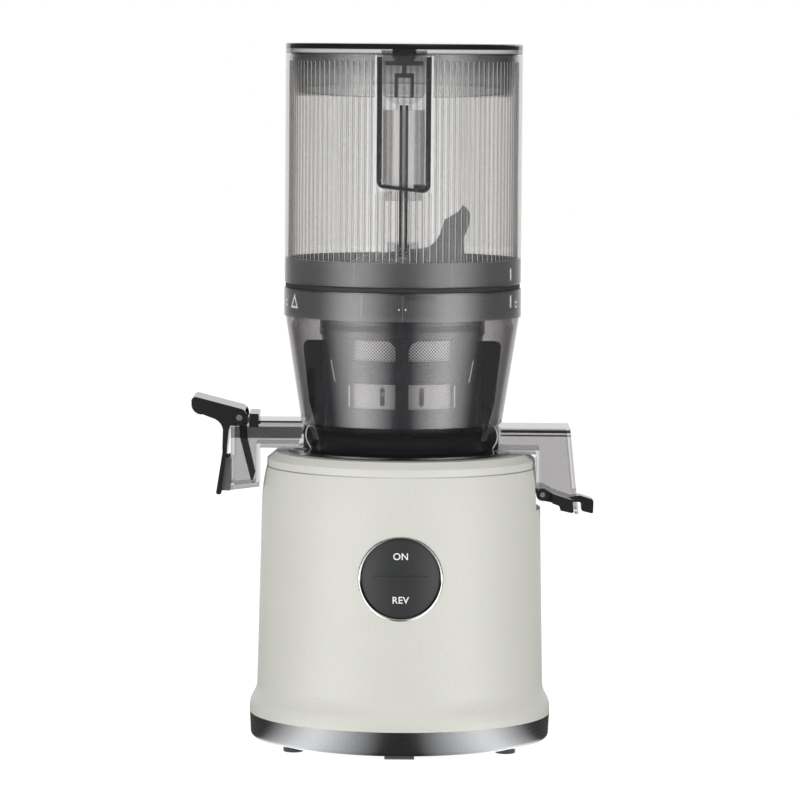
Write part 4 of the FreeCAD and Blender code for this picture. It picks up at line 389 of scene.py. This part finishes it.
def settled(piece, name, body, material):
    """Names a finished piece, puts its place into its mesh and lets it ride on a body."""
    bare()
    piece.select_set(True)
    bpy.context.view_layer.objects.active = piece
    bpy.ops.object.transform_apply(location=True, rotation=True, scale=True)
    bpy.ops.object.shade_smooth_by_angle(angle=SMOOTH_ANGLE)
    piece.name = name
    piece.data.name = name
    piece.data.materials.clear()
    piece.data.materials.append(material)
    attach(piece, body)
    return piece


def chosen(piece, test, kind):
    """Edit mode with the points or faces selected that pass a test."""
    bpy.ops.object.mode_set(mode="EDIT")
    bpy.ops.mesh.select_mode(type=kind)
    bpy.ops.mesh.select_all(action="DESELECT")
    bpy.ops.object.mode_set(mode="OBJECT")
    for part in (piece.data.vertices if kind == "VERT" else piece.data.polygons):
        part.select = test(part)
    bpy.ops.object.mode_set(mode="EDIT")


def repaint(material, *nodes):
    """Gives CAD nodes a finish."""
    for name in nodes:
        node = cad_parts[name]
        if not node.material_slots:
            node.data.materials.append(material)
        for held in node.material_slots:
            held.material = material


def printed_word(word, name, z, face_y, height, depth, material, body):
    """A word printed on a face that looks to the front."""
    bare()
    bpy.ops.object.text_add(location=(0, face_y, z), rotation=(math.pi / 2, 0, 0))
    text = bpy.context.object
    text.data.body = word
    text.data.align_x = "CENTER"
    text.data.align_y = "CENTER"
    text.data.size = height / CAPITAL_SHARE
    text.data.offset = height * STROKE_SHARE
    text.data.space_character = LETTER_SPACING
    text.data.extrude = depth
    text.data.resolution_u = 6
    bpy.ops.object.convert(target="MESH")
    piece = bpy.context.object
    bpy.ops.object.mode_set(mode="EDIT")
    bpy.ops.mesh.select_all(action="SELECT")
    bpy.ops.mesh.remove_doubles(threshold=1e-6)
    bpy.ops.mesh.normals_make_consistent(inside=False)
    bpy.ops.object.mode_set(mode="OBJECT")
    return settled(piece, name, body, material)


# Operators

class JUICER_OT_stage(bpy.types.Operator):
    """Lay the floor, hang the lamps and set the camera"""
    bl_idname = "juicer.stage"
    bl_label = "Studio and camera"

    def execute(self, context):
        scene, sizes = context.scene, context.scene.juicer_sizes
        self.floor(context, sizes)
        self.flag(context)
        for name, turn, power in (("left", -52.0, 29.0), ("right", 52.0, 27.0)):
            self.softbox(context, name, turn, power)
        self.sky(scene)
        self.camera(context, sizes)
        scene.view_settings.view_transform = "Standard"
        scene.cycles.transparent_max_bounces = 64
        scene.cycles.max_bounces = 16
        return {"FINISHED"}

    def floor(self, context, sizes):
        """Pale paper. Mirrors find a bright strip on it to either side, and a dim field between them."""
        bare()
        bpy.ops.mesh.primitive_plane_add(size=sizes.floor, location=(0, 0, 0))
        floor = context.object
        floor.name = "studio_floor"
        r = Recipe("studio_floor")
        rays = r.node("ShaderNodeLightPath")
        seen = r.maths("MAXIMUM", rays.outputs["Is Camera Ray"], rays.outputs["Is Transmission Ray"])
        paper = r.node("ShaderNodeBsdfDiffuse", {"Color": r.blend(r.noise(1.2), grey(0.80), grey(0.83))})
        thin = r.node("ShaderNodeBsdfDiffuse", {"Color": (0.25, 0.25, 0.25, 1.0)})
        glow = r.node("ShaderNodeEmission", {"Color": WHITE, "Strength": 0.97})
        lit = r.node("ShaderNodeAddShader", {0: thin.outputs[0], 1: glow.outputs[0]})
        # the strip brightens and dims by the angle from the front, in radians
        x, y, _ = r.axes()
        turn = r.maths("ABSOLUTE", r.turn(x, y))
        strip = r.times(r.spread(turn, 0.15, 0.75), r.fall(turn, 0.90, 1.45))
        level = r.maths("ADD", r.times(strip, 4.2), r.spread(turn, 2.4, 2.8, 0.13, 1.0))
        sheen = r.node("ShaderNodeEmission", {"Color": WHITE, "Strength": level})
        top = r.mix(rays.outputs["Is Glossy Ray"], r.mix(seen, paper, lit), sheen)
        floor.data.materials.append(r.finish(top))

    def flag(self, context):
        """Dim cloth all round the set, which only mirrors show. It is open behind the machine."""
        bare()
        radius, open_behind = 5.0, 4.2
        bpy.ops.mesh.primitive_cylinder_add(vertices=72, radius=radius, depth=9.0, end_fill_type="NOTHING",
                                            location=(0, 0, 3.0))
        cloth = context.object
        cloth.name = "studio_flag"
        bpy.ops.object.transform_apply(location=True)
        chosen(cloth, lambda f: f.center.y > open_behind, "FACE")
        bpy.ops.mesh.delete(type="FACE")
        bpy.ops.object.mode_set(mode="OBJECT")
        r = Recipe("studio_flag")
        tone = r.blend(r.noise(0.6, 1.0), grey(0.15), grey(0.19))
        cloth.data.materials.append(r.finish(r.node("ShaderNodeEmission", {"Color": tone, "Strength": 1.0})))
        cloth.visible_camera = cloth.visible_diffuse = cloth.visible_transmission = False
        cloth.visible_shadow = cloth.visible_volume_scatter = False

    def softbox(self, context, name, turn, power):
        """A wide lamp that looks at the machine's middle and shows in no mirror."""
        bearing, reach, height, aim = math.radians(turn), 2.2, 0.62, Vector((0, 0, 0.25))
        spot = Vector((math.sin(bearing) * reach, -math.cos(bearing) * reach, height))
        bpy.ops.object.light_add(type="AREA", location=spot)
        lamp = context.object
        lamp.name = "softbox_" + name
        lamp.data.shape, lamp.data.size, lamp.data.size_y = "RECTANGLE", 1.9, 1.2
        lamp.data.energy = power
        lamp.rotation_mode = "QUATERNION"
        lamp.rotation_quaternion = (aim - spot).to_track_quat("-Z", "Y")
        lamp.visible_camera = lamp.visible_glossy = False

    def sky(self, scene):
        """White where it is seen, and a soft dome, brighter in front, where it lights."""
        scene.world = bpy.data.worlds.new("studio_sky")
        r = Recipe("studio_sky", scene.world)
        rays = r.node("ShaderNodeLightPath")
        seen = r.maths("MAXIMUM", rays.outputs["Is Camera Ray"], rays.outputs["Is Glossy Ray"])
        seen = r.maths("MAXIMUM", seen, rays.outputs["Is Transmission Ray"])
        level = r.spread(r.axes()[1], -1.0, 1.0, 0.50, 0.20)
        soft = r.node("ShaderNodeBackground", {"Color": WHITE, "Strength": level})
        white = r.node("ShaderNodeBackground", {"Color": WHITE, "Strength": 1.0})
        r.finish(r.mix(seen, soft, white))

    def camera(self, context, sizes):
        bpy.ops.object.camera_add()
        eye = context.object
        eye.name = "photo_view"
        eye.rotation_mode = "QUATERNION"
        pitch = Matrix.Rotation(math.pi / 2 - sizes.view_pitch, 4, "X")
        tilt = pitch @ Matrix.Rotation(sizes.view_roll, 4, "Z")
        eye.location = (-sizes.view_shift, -sizes.view_distance, sizes.view_height)
        eye.rotation_quaternion = tilt.to_quaternion()
        eye.data.sensor_width = 36.0
        eye.data.lens = sizes.lens
        eye.data.clip_start, eye.data.clip_end = 0.05, 60.0
        context.scene.camera = eye


class JUICER_OT_casing(bpy.types.Operator):
    """Finish the base: casing, trim band, bottom, feet and gland"""
    bl_idname = "juicer.casing"
    bl_label = "Base finishes"

    def execute(self, context):
        c = context.scene.juicer_colours
        repaint(speckled("casing_cream", tuple(c.casing), tuple(c.fleck)), "base_shell", "base_top_cover")
        repaint(plastic("trim_satin", c.trim, 0.27, metal=1.0, grain=3000.0, depth=0.00001, waver=0.03),
                "base_trim")
        repaint(plastic("bottom_grey", (0.17, 0.17, 0.175), 0.6), "bottom_cover")
        repaint(plastic("foot_rubber", grey(0.015), 0.75, grain=1500.0), "rubber_feet", "cord_gland",
                "shaft_seal")
        repaint(plastic("zinc", (0.42, 0.43, 0.44), 0.32, metal=1.0), "bottom_screws", "chassis_screws",
                "gearbox_screws")
        return {"FINISHED"}


class JUICER_OT_button(bpy.types.Operator):
    """Finish the rocker button and print its two words"""
    bl_idname = "juicer.button"
    bl_label = "Control button"

    def execute(self, context):
        c, s = context.scene.juicer_colours, context.scene.juicer_sizes
        low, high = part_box("button_disc")
        middle = (low.z + high.z) / 2
        repaint(bright_ring("bezel_bright", middle), "button_bezel")
        repaint(plastic("button_satin", c.button, 0.36, grain=1800.0, depth=0.00002), "button_disc")
        ink = plastic("legend_ink", c.legend, 0.5, grain=4000.0, depth=0.000005, waver=0.02)
        for word, name, side in (("ON", "legend_on", 1), ("REV", "legend_rev", -1)):
            z = middle + side * s.legend_spread
            printed_word(word, name, z, self.face(z), s.legend_height, s.print_depth, ink,
                         "button")
        return {"FINISHED"}

    def face(self, z):
        """Where the disc's face lies at that height, on the middle line."""
        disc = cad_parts["button_disc"]
        hit, place, _, _ = disc.ray_cast(Vector((0.0, -0.3, z)), Vector((0.0, 1.0, 0.0)))
        if not hit:
            raise RuntimeError("no face under the legend")
        return place.y


class JUICER_OT_insides(bpy.types.Operator):
    """Finish the motor, gears, boards and shafts inside the base"""
    bl_idname = "juicer.insides"
    bl_label = "Works inside the base"

    def execute(self, context):
        repaint(plastic("inner_black", grey(0.02), 0.55), "button_housing", "push_switches", "cooling_fan")
        repaint(plastic("turned_steel", (0.55, 0.55, 0.56), 0.24, metal=1.0), "button_pivot",
                "motor_bearings", "lay_pin", "shaft_bearing", "motor_shaft", "output_shaft",
                "juice_lever_pin", "pulp_lever_pin", "auger_socket", "rod_spring", "lid_hinge_pin")
        repaint(plastic("board_green", (0.012, 0.10, 0.04), 0.35, grain=700.0), "switch_board",
                "control_board")
        repaint(plastic("parts_grey", (0.06, 0.06, 0.07), 0.4), "board_parts")
        repaint(plastic("motor_zinc", (0.30, 0.31, 0.32), 0.4, metal=1.0), "motor_can", "chassis_plate")
        repaint(plastic("laminate", (0.14, 0.14, 0.15), 0.5, metal=0.8, grain=4000.0), "stator", "rotor")
        repaint(plastic("copper_wire", (0.55, 0.20, 0.08), 0.35, metal=0.9, grain=1200.0, depth=0.0002),
                "stator_coils")
        repaint(plastic("gear_natural", (0.68, 0.66, 0.58), 0.42), "lay_gear", "output_gear")
        repaint(plastic("cast_alloy", (0.40, 0.40, 0.41), 0.5, metal=0.9, grain=600.0, depth=0.0001),
                "gearbox_case", "gearbox_lid")
        return {"FINISHED"}


class JUICER_OT_drum(bpy.types.Operator):
    """Finish the drum, its levers and seals"""
    bl_idname = "juicer.drum"
    bl_label = "Drum and levers"

    def execute(self, context):
        c = context.scene.juicer_colours
        repaint(self.smoked(c), "juice_drum")
        repaint(plastic("lever_gloss", c.lever, 0.16, depth=0.000005), "juice_lever", "pulp_lever",
                "lever_bracket")
        repaint(plastic("seal_black", (0.02, 0.02, 0.021), 0.6), "spout_leaf", "hopper_seal")
        repaint(plastic("seal_grey", (0.12, 0.12, 0.125), 0.6), "lever_seal", "tube_seal")
        return {"FINISHED"}

    def smoked(self, c):
        """Clear wall with the outlets' lines, a foot painted near black as painted shade with a painted
        highlight arc on either side, and the locking ring.
        """
        r = Recipe("drum_smoke")
        x, y, z = r.axes()
        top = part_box("juice_drum")[1].z
        ring_foot = top - 18.2 * MM
        side, front = r.maths("ABSOLUTE", x), r.ahead(y, -10 * MM)
        wall = see_through(r, self.outlet_lines(r, tuple(c.smoke), x, z, side, front, top),
                           (0.30, 0.29, 0.29), haze=0.02, rough=0.10)
        # painted shade: the foot is painted near black
        near = r.fall(r.reach(x, y), 65.6 * MM, 66.2 * MM)
        foot = r.times(near, r.fall(z, top - 93.8 * MM, top - 89.8 * MM))
        # a painted highlight: an arc on either side of the foot, bent outwards at its middle
        arc_middle, arc_bend = top - 95.3 * MM, 50.0
        bend = r.maths("SUBTRACT", 62.2 * MM, r.times(arc_bend, r.maths(
            "POWER", r.maths("SUBTRACT", z, arc_middle), 2.0)))
        arc = r.times(r.within(z, top - 103.0 * MM, top - 88.5 * MM, 0.2 * MM), front,
                      r.within(r.maths("SUBTRACT", side, bend), -0.4 * MM, 0.4 * MM))
        # the foot's painted shade, with the arcs' painted highlight
        dark = see_through(r, (0.30, 0.30, 0.31), r.blend(arc, (0.016, 0.016, 0.018), grey(0.80)),
                           haze=0.80, rough=0.12)
        wall = r.mix(r.maths("MAXIMUM", foot, arc), wall, dark)
        ring = self.lock_ring(r, c, x, y, z, top)
        return r.finish(r.mix(r.spread(z, ring_foot - 0.1 * MM, ring_foot + 0.1 * MM), wall, ring))

    def outlet_lines(self, r, tone, x, z, side, front, top):
        """The tone with the lines that the walls of the two outlets show in front."""
        left = r.fall(x, 0.0, 1 * MM)
        right = r.maths("SUBTRACT", 1.0, left)
        outer = r.spread(side, 64.0 * MM, 65.0 * MM)
        # side, depth of the line's foot and head below the drum's top, tone that it keeps, and strength
        for where, foot, head, keep, deep in ((right, 92.9, 91.0, 0.06, 1.0), (right, 95.2, 94.2, 0.10, 0.8),
                                              (left, 87.9, 86.6, 0.06, 1.0), (left, 98.0, 90.6, 0.22, 0.8)):
            line = r.within(z, top - foot * MM, top - head * MM, 0.15 * MM)
            tone = r.blend(r.times(where, line, outer, front, deep), tone, grey(keep))
        return tone

    def lock_ring(self, r, c, x, y, z, top):
        """Satin ring with a shallow field in front, a dark bar in it, a seam, painted highlights near the
        field's left end and painted shade along its upper edge, where it meets the hopper's ring.
        What goes round the ring is in radians from the front."""
        turn = r.turn(x, y)
        field_left, field_right, bar_left, bar_right, seam_half = -0.372, 0.290, 0.019, 0.286, 0.003
        own = r.blend(r.noise(45.0), (0.090, 0.092, 0.096), (0.105, 0.107, 0.112))
        field = r.times(r.within(turn, field_left, field_right, 0.002),
                        r.within(z, top - 15.3 * MM, top - 0.5 * MM))
        own = r.blend(r.times(field, 0.45), own, (0.045, 0.046, 0.048))
        bar = r.times(r.within(turn, bar_left, bar_right, 0.002),
                      r.within(z, top - 4.6 * MM, top - 1.4 * MM))
        own = r.blend(r.times(bar, 0.8), own, (0.016, 0.016, 0.017))
        # painted highlights near the field's left end, drawn with the seam
        ends = r.maths("MAXIMUM", r.within(turn, field_left - 0.006, field_left, 0.001),
                       r.within(turn, field_left + 0.020, field_left + 0.030, 0.001))
        seam = r.maths("MAXIMUM", r.within(turn, -seam_half, seam_half, 0.001), r.times(ends, field))
        own = r.blend(r.times(seam, 0.55), own, grey(0.42))
        # painted shade along the upper edge, in the gap below the hopper's ring
        own = r.blend(r.spread(z, top - 1.4 * MM, top - 1.0 * MM), own, grey(0.006))
        # rim: a painted sheen edge on
        return see_through(r, tuple(c.ring), own, haze=0.42, rough=0.30, mirror=0.15, grain=0.5,
                           rim=(0.26, 0.265, 0.27))


class JUICER_OT_marks(bpy.types.Operator):
    """Set the raised marks on the two rings"""
    bl_idname = "juicer.marks"
    bl_label = "Marks on the rings"

    def execute(self, context):
        c, s = context.scene.juicer_colours, context.scene.juicer_sizes
        self.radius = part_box("hopper_ring")[1].x
        self.light = two_faced("mark_light", tuple(c.mark))
        top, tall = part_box("juice_drum")[1].z, s.mark_height
        self.pill("mark_hopper_pill", 64.1, top + 10.5 * MM, 2.6 * MM, tall, "hopper", "dark_smoke")
        self.pill("mark_drum_pill", 64.4, top - 7.0 * MM, 2.6 * MM, tall, "drum", "drum_smoke")
        self.pill("mark_dash", 80.7, top - 7.5 * MM, 0.9 * MM, 3.4 * MM, "drum", "drum_smoke", lying=True)
        for name, turn in (("mark_dot_left", -1.7), ("mark_dot_right", 1.4)):
            self.pill(name, turn, top - 10.3 * MM, 1.1 * MM, 1.5 * MM, "drum", "drum_smoke")
        self.triangle("mark_triangle", -64.4, top - 7.4 * MM, 9.6 * MM)
        self.lock("mark_lock_shut", 71.2, top - 9.3 * MM, 0.0)
        self.lock("mark_lock_open", -74.9, top - 9.1 * MM, 1.5 * MM)
        return {"FINISHED"}

    def spot(self, turn, z):
        """Place and turn of a mark on the rings, by its degrees from the front and its height."""
        bearing = math.radians(turn)
        place = (math.sin(bearing) * self.radius, -math.cos(bearing) * self.radius, z)
        return {"location": place, "rotation": (math.pi / 2, 0, bearing)}

    def stretch(self, piece, along, amount):
        """Draws the two halves of a piece apart."""
        for side in (1, -1):
            chosen(piece, lambda p: (p.co @ along) * side > 1e-5, "VERT")
            step = piece.matrix_world.to_3x3() @ (along * (side * amount / 2))
            bpy.ops.transform.translate(value=step)

    def sink(self, piece, rim):
        """Sinks the outer face and leaves a rim round it."""
        chosen(piece, lambda f: f.normal.z > 0.9, "FACE")
        bpy.ops.mesh.inset(thickness=rim, depth=0.0)
        inward = piece.matrix_world.to_3x3() @ Vector((0, 0, -0.25 * MM))
        bpy.ops.mesh.extrude_region_move(TRANSFORM_OT_translate={"value": inward})

    def pill(self, name, turn, z, width, tall, body, slot, lying=False):
        """Round-ended bar, upright or lying."""
        bare()
        bpy.ops.mesh.primitive_cylinder_add(vertices=28, radius=width / 2, depth=0.7 * MM,
                                            **self.spot(turn, z))
        piece = bpy.context.object
        self.stretch(piece, Vector((1, 0, 0)) if lying else Vector((0, 1, 0)), tall - width)
        chosen(piece, lambda f: abs(f.normal.z) > 0.9, "FACE")
        bpy.ops.mesh.bevel(offset=min(0.3 * MM, width * 0.25), segments=2, affect="EDGES")
        return settled(piece, name, body, self.light)

    def triangle(self, name, turn, z, tall):
        """Outlined triangle that points up."""
        bare()
        bpy.ops.mesh.primitive_cylinder_add(vertices=3, radius=tall / 1.5, depth=0.6 * MM,
                                            **self.spot(turn, z - tall / 6))
        piece = bpy.context.object
        self.sink(piece, 1.5 * MM)
        return settled(piece, name, "drum", self.light)

    def lock(self, name, turn, z, slip):
        """Small padlock: an outlined body and its shackle, which slips to the side when open."""
        bare()
        bpy.ops.mesh.primitive_torus_add(
            major_radius=1.7 * MM, minor_radius=0.3 * MM, major_segments=28, minor_segments=8,
            **self.spot(turn + math.degrees(slip / self.radius), z + 2.6 * MM))
        shackle = bpy.context.object
        bare()
        bpy.ops.mesh.primitive_cube_add(size=1.0, **self.spot(turn, z))
        piece = bpy.context.object
        piece.scale = (5.2 * MM, 4.2 * MM, 0.8 * MM)
        bpy.ops.object.transform_apply(location=False, rotation=False, scale=True)
        self.sink(piece, 1.0 * MM)
        bpy.ops.object.mode_set(mode="OBJECT")
        shackle.select_set(True)
        bpy.context.view_layer.objects.active = piece
        piece.select_set(True)
        bpy.ops.object.join()
        return settled(piece, name, "drum", self.light)


class JUICER_OT_press(bpy.types.Operator):
    """Finish the strainer and the press screw"""
    bl_idname = "juicer.press"
    bl_label = "Strainer and auger"

    def execute(self, context):
        c = context.scene.juicer_colours
        repaint(self.cage(tuple(c.strainer)), "strainer_frame")
        repaint(perforated("strainer_mesh"), "strainer_mesh")
        repaint(plastic("auger_satin", c.auger, 0.38), "auger")
        return {"FINISHED"}

    def cage(self, tone):
        """Dark moulding whose edges catch light at the ends of its band and of its lower windows."""
        r = Recipe("strainer_cage")
        x, y, z = r.axes()
        fine = r.noise(2200.0)
        base = r.blend(fine, shade(tone, 0.93), shade(tone, 1.07))
        side = r.maths("ABSOLUTE", x)
        # the band widens upwards from its lower edge, and the windows below it have upright sides
        band_foot, band_head, widening = 237.0 * MM, 251.0 * MM, 0.19
        window_foot, window_head = 221.5 * MM, 235.5 * MM
        lean = r.maths("SUBTRACT", side, r.times(r.maths("SUBTRACT", z, band_foot), widening))
        ends = r.times(r.within(lean, 42.9 * MM, 43.7 * MM), r.within(z, band_foot + 0.2 * MM, band_head))
        sides = r.times(r.within(side, 33.4 * MM, 34.4 * MM), r.within(z, window_foot, window_head))
        lines = r.times(r.ahead(y, -10 * MM), r.maths("MAXIMUM", ends, sides))
        base = r.blend(lines, base, grey(0.86))
        return r.opaque(base, r.gloss(fine, 0.22, 0.30), r.bump(fine, 0.00001))


class JUICER_OT_hopper(bpy.types.Operator):
    """Finish the hopper, its channel and rod, and the lid"""
    bl_idname = "juicer.hopper"
    bl_label = "Hopper and lid"

    def execute(self, context):
        c = context.scene.juicer_colours
        repaint(fluted("hopper_flutes", tuple(c.wall)), "hopper_wall")
        repaint(self.tube_with_painted_light(), "guide_tube")
        repaint(self.skirt(), "lid_panel")
        repaint(self.collar(c), "hopper_ring")
        repaint(self.trough(c), "channel_frame")
        repaint(clear("collar_smoke", c.channel, (0.06, 0.06, 0.065), haze=0.10, thin=0.05),
                "rod_collar", "spring_cup")
        repaint(clear("lid_smoke", c.lid, (0.016, 0.016, 0.018), haze=0.60, mirror=0.03), "lid_cover")
        repaint(plastic("rod_black", (0.02, 0.02, 0.022), 0.3), "lid_catch")
        repaint(self.rod(), "interlock_rod")
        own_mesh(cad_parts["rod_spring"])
        return {"FINISHED"}

    def collar(self, c):
        """Satin ring that sparkles finely, with two seams and painted shade along its lower edge, darker
        towards the bottom where it meets the drum's ring.
        """
        r = Recipe("ring_smoke")
        x, y, z = r.axes()
        turn = r.maths("ABSOLUTE", r.turn(x, y))
        sparkle = r.noise(1400.0, 3.0, 0.8)
        own = r.blend(r.spread(sparkle, 0.35, 0.65), (0.070, 0.071, 0.074), (0.125, 0.127, 0.132))
        seam_from, seam_to = 0.415, 0.421
        own = r.blend(r.times(r.within(turn, seam_from, seam_to, 0.001), 0.6), own, grey(0.30))
        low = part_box("juice_drum")[1].z + 2.8 * MM
        # painted shade along the lower edge and above it, where the ring meets the drum's ring
        own = r.blend(r.fall(z, low + 1.0 * MM, low + 1.4 * MM), own, grey(0.006))
        own = r.blend(r.spread(z, low + 1.0 * MM, low + 5.0 * MM, 0.35, 0.0), own, (0.03, 0.03, 0.032))
        # rim: a painted sheen edge on
        return r.finish(see_through(r, tuple(c.ring), own, haze=0.50, rough=0.34, mirror=0.125, grain=1.0,
                                    rim=(0.27, 0.272, 0.28)))

    def tube_with_painted_light(self):
        """Clear tube: stripes of painted highlight and painted shade run up its front."""
        r = Recipe("tube_clear")
        x, y, _ = r.axes()
        # where each stripe starts and ends to either side of the tube's middle line
        side = r.maths("ABSOLUTE", x)
        # stripes of painted highlight
        white = r.maths("MAXIMUM", r.within(side, 2.9 * MM, 6.4 * MM, 0.3 * MM),
                        r.within(side, 12.0 * MM, 12.6 * MM))
        # stripes of painted shade
        painted_shade_stripes = r.maths("MAXIMUM", r.within(side, 7.0 * MM, 11.6 * MM, 0.4 * MM),
                       r.within(side, 4.4 * MM, 4.8 * MM))
        middle_plane = -59.6 * MM
        front = r.fall(y, middle_plane - 0.01 * MM, middle_plane + 0.01 * MM)
        tint = r.blend(r.times(painted_shade_stripes, front), grey(0.97), (0.925, 0.92, 0.915))
        haze = r.maths("ADD", 0.02, r.times(white, front, 0.70))
        return r.finish(see_through(r, tint, grey(0.90), haze=haze, rough=0.12, thin=0.10))

    def rod(self):
        """Clear rod: its two flanks get painted shade and its middle is light."""
        r = Recipe("rod_smoke")
        flank = r.spread(r.maths("ABSOLUTE", r.axes()[0]), 0.95 * MM, 1.15 * MM)
        light = see_through(r, grey(0.93), grey(0.70), haze=0.35)
        # the flanks: painted shade
        deep = see_through(r, (0.20, 0.20, 0.21), (0.020, 0.020, 0.022), haze=0.75, mirror=0.03)
        return r.finish(r.mix(flank, light, deep))

    def skirt(self):
        """Lid plate and skirt. The skirt is smoked above a slanting line and clearer below it."""
        r = Recipe("skirt_smoke")
        _, y, z = r.axes()
        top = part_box("lid_panel")[1].z
        foot, slope = top - 30.4 * MM, 3.75 / 70
        slant = r.maths("ADD", foot + 3.9 * MM, r.times(y, slope))
        above = r.maths("SUBTRACT", z, slant)
        tone = r.blend(r.spread(above, -0.2 * MM, 0.2 * MM), (0.95, 0.947, 0.945), (0.85, 0.85, 0.853))
        tone = r.blend(r.spread(z, foot + 12 * MM, foot + 26 * MM), tone, (0.68, 0.68, 0.685))
        line = r.within(above, -0.4 * MM, 0.2 * MM)
        tone = r.blend(r.times(line, 0.8), tone, (0.45, 0.45, 0.46))
        tone = r.blend(r.spread(z, top - 3.4 * MM, top - 3.2 * MM), tone, grey(0.80))
        return r.finish(see_through(r, tone, grey(0.5), haze=0.02, rough=0.07))

    def trough(self, c):
        """Clear in front and behind, and dark where a side or the foot is seen through its depth."""
        r = Recipe("channel_smoke")
        x, _, z = r.axes()
        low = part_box("channel_frame")[0].z
        side = r.spread(r.maths("ABSOLUTE", x), 13.9 * MM, 14.1 * MM)
        foot = r.fall(z, low + 4.2 * MM, low + 4.4 * MM)
        open_part = see_through(r, tuple(c.channel), (0.06, 0.06, 0.065), haze=0.03)
        deep_part = see_through(r, (0.14, 0.14, 0.15), (0.022, 0.022, 0.024), haze=0.82, mirror=0.03)
        return r.finish(r.mix(r.maths("MAXIMUM", side, foot), open_part, deep_part))


class JUICER_PT_panel(bpy.types.Panel):
    """Juicer tools"""
    bl_label = "Cold Press Juicer"
    bl_idname = "JUICER_PT_panel"
    bl_space_type = "VIEW_3D"
    bl_region_type = "UI"
    bl_category = "Juicer"

    def draw(self, context):
        for kind in OPERATORS:
            self.layout.operator(kind.bl_idname)
        for group in (context.scene.juicer_colours, context.scene.juicer_sizes):
            box = self.layout.box()
            for key in group.__annotations__:
                box.prop(group, key)


OPERATORS = (JUICER_OT_stage, JUICER_OT_casing, JUICER_OT_button, JUICER_OT_insides, JUICER_OT_drum,
             JUICER_OT_press, JUICER_OT_hopper, JUICER_OT_marks)
CLASSES = (JuicerColours, JuicerSizes, *OPERATORS, JUICER_PT_panel)


def register():
    for kind in CLASSES:
        bpy.utils.register_class(kind)
    bpy.types.Scene.juicer_colours = bpy.props.PointerProperty(type=JuicerColours)
    bpy.types.Scene.juicer_sizes = bpy.props.PointerProperty(type=JuicerSizes)


def unregister():
    del bpy.types.Scene.juicer_sizes
    del bpy.types.Scene.juicer_colours
    for kind in reversed(CLASSES):
        bpy.utils.unregister_class(kind)


def main():
    register()
    bpy.ops.juicer.stage()
    bpy.ops.juicer.casing()
    bpy.ops.juicer.button()
    bpy.ops.juicer.insides()
    bpy.ops.juicer.drum()
    bpy.ops.juicer.press()
    bpy.ops.juicer.hopper()
    bpy.ops.juicer.marks()


if __name__ == "__main__":
    main()
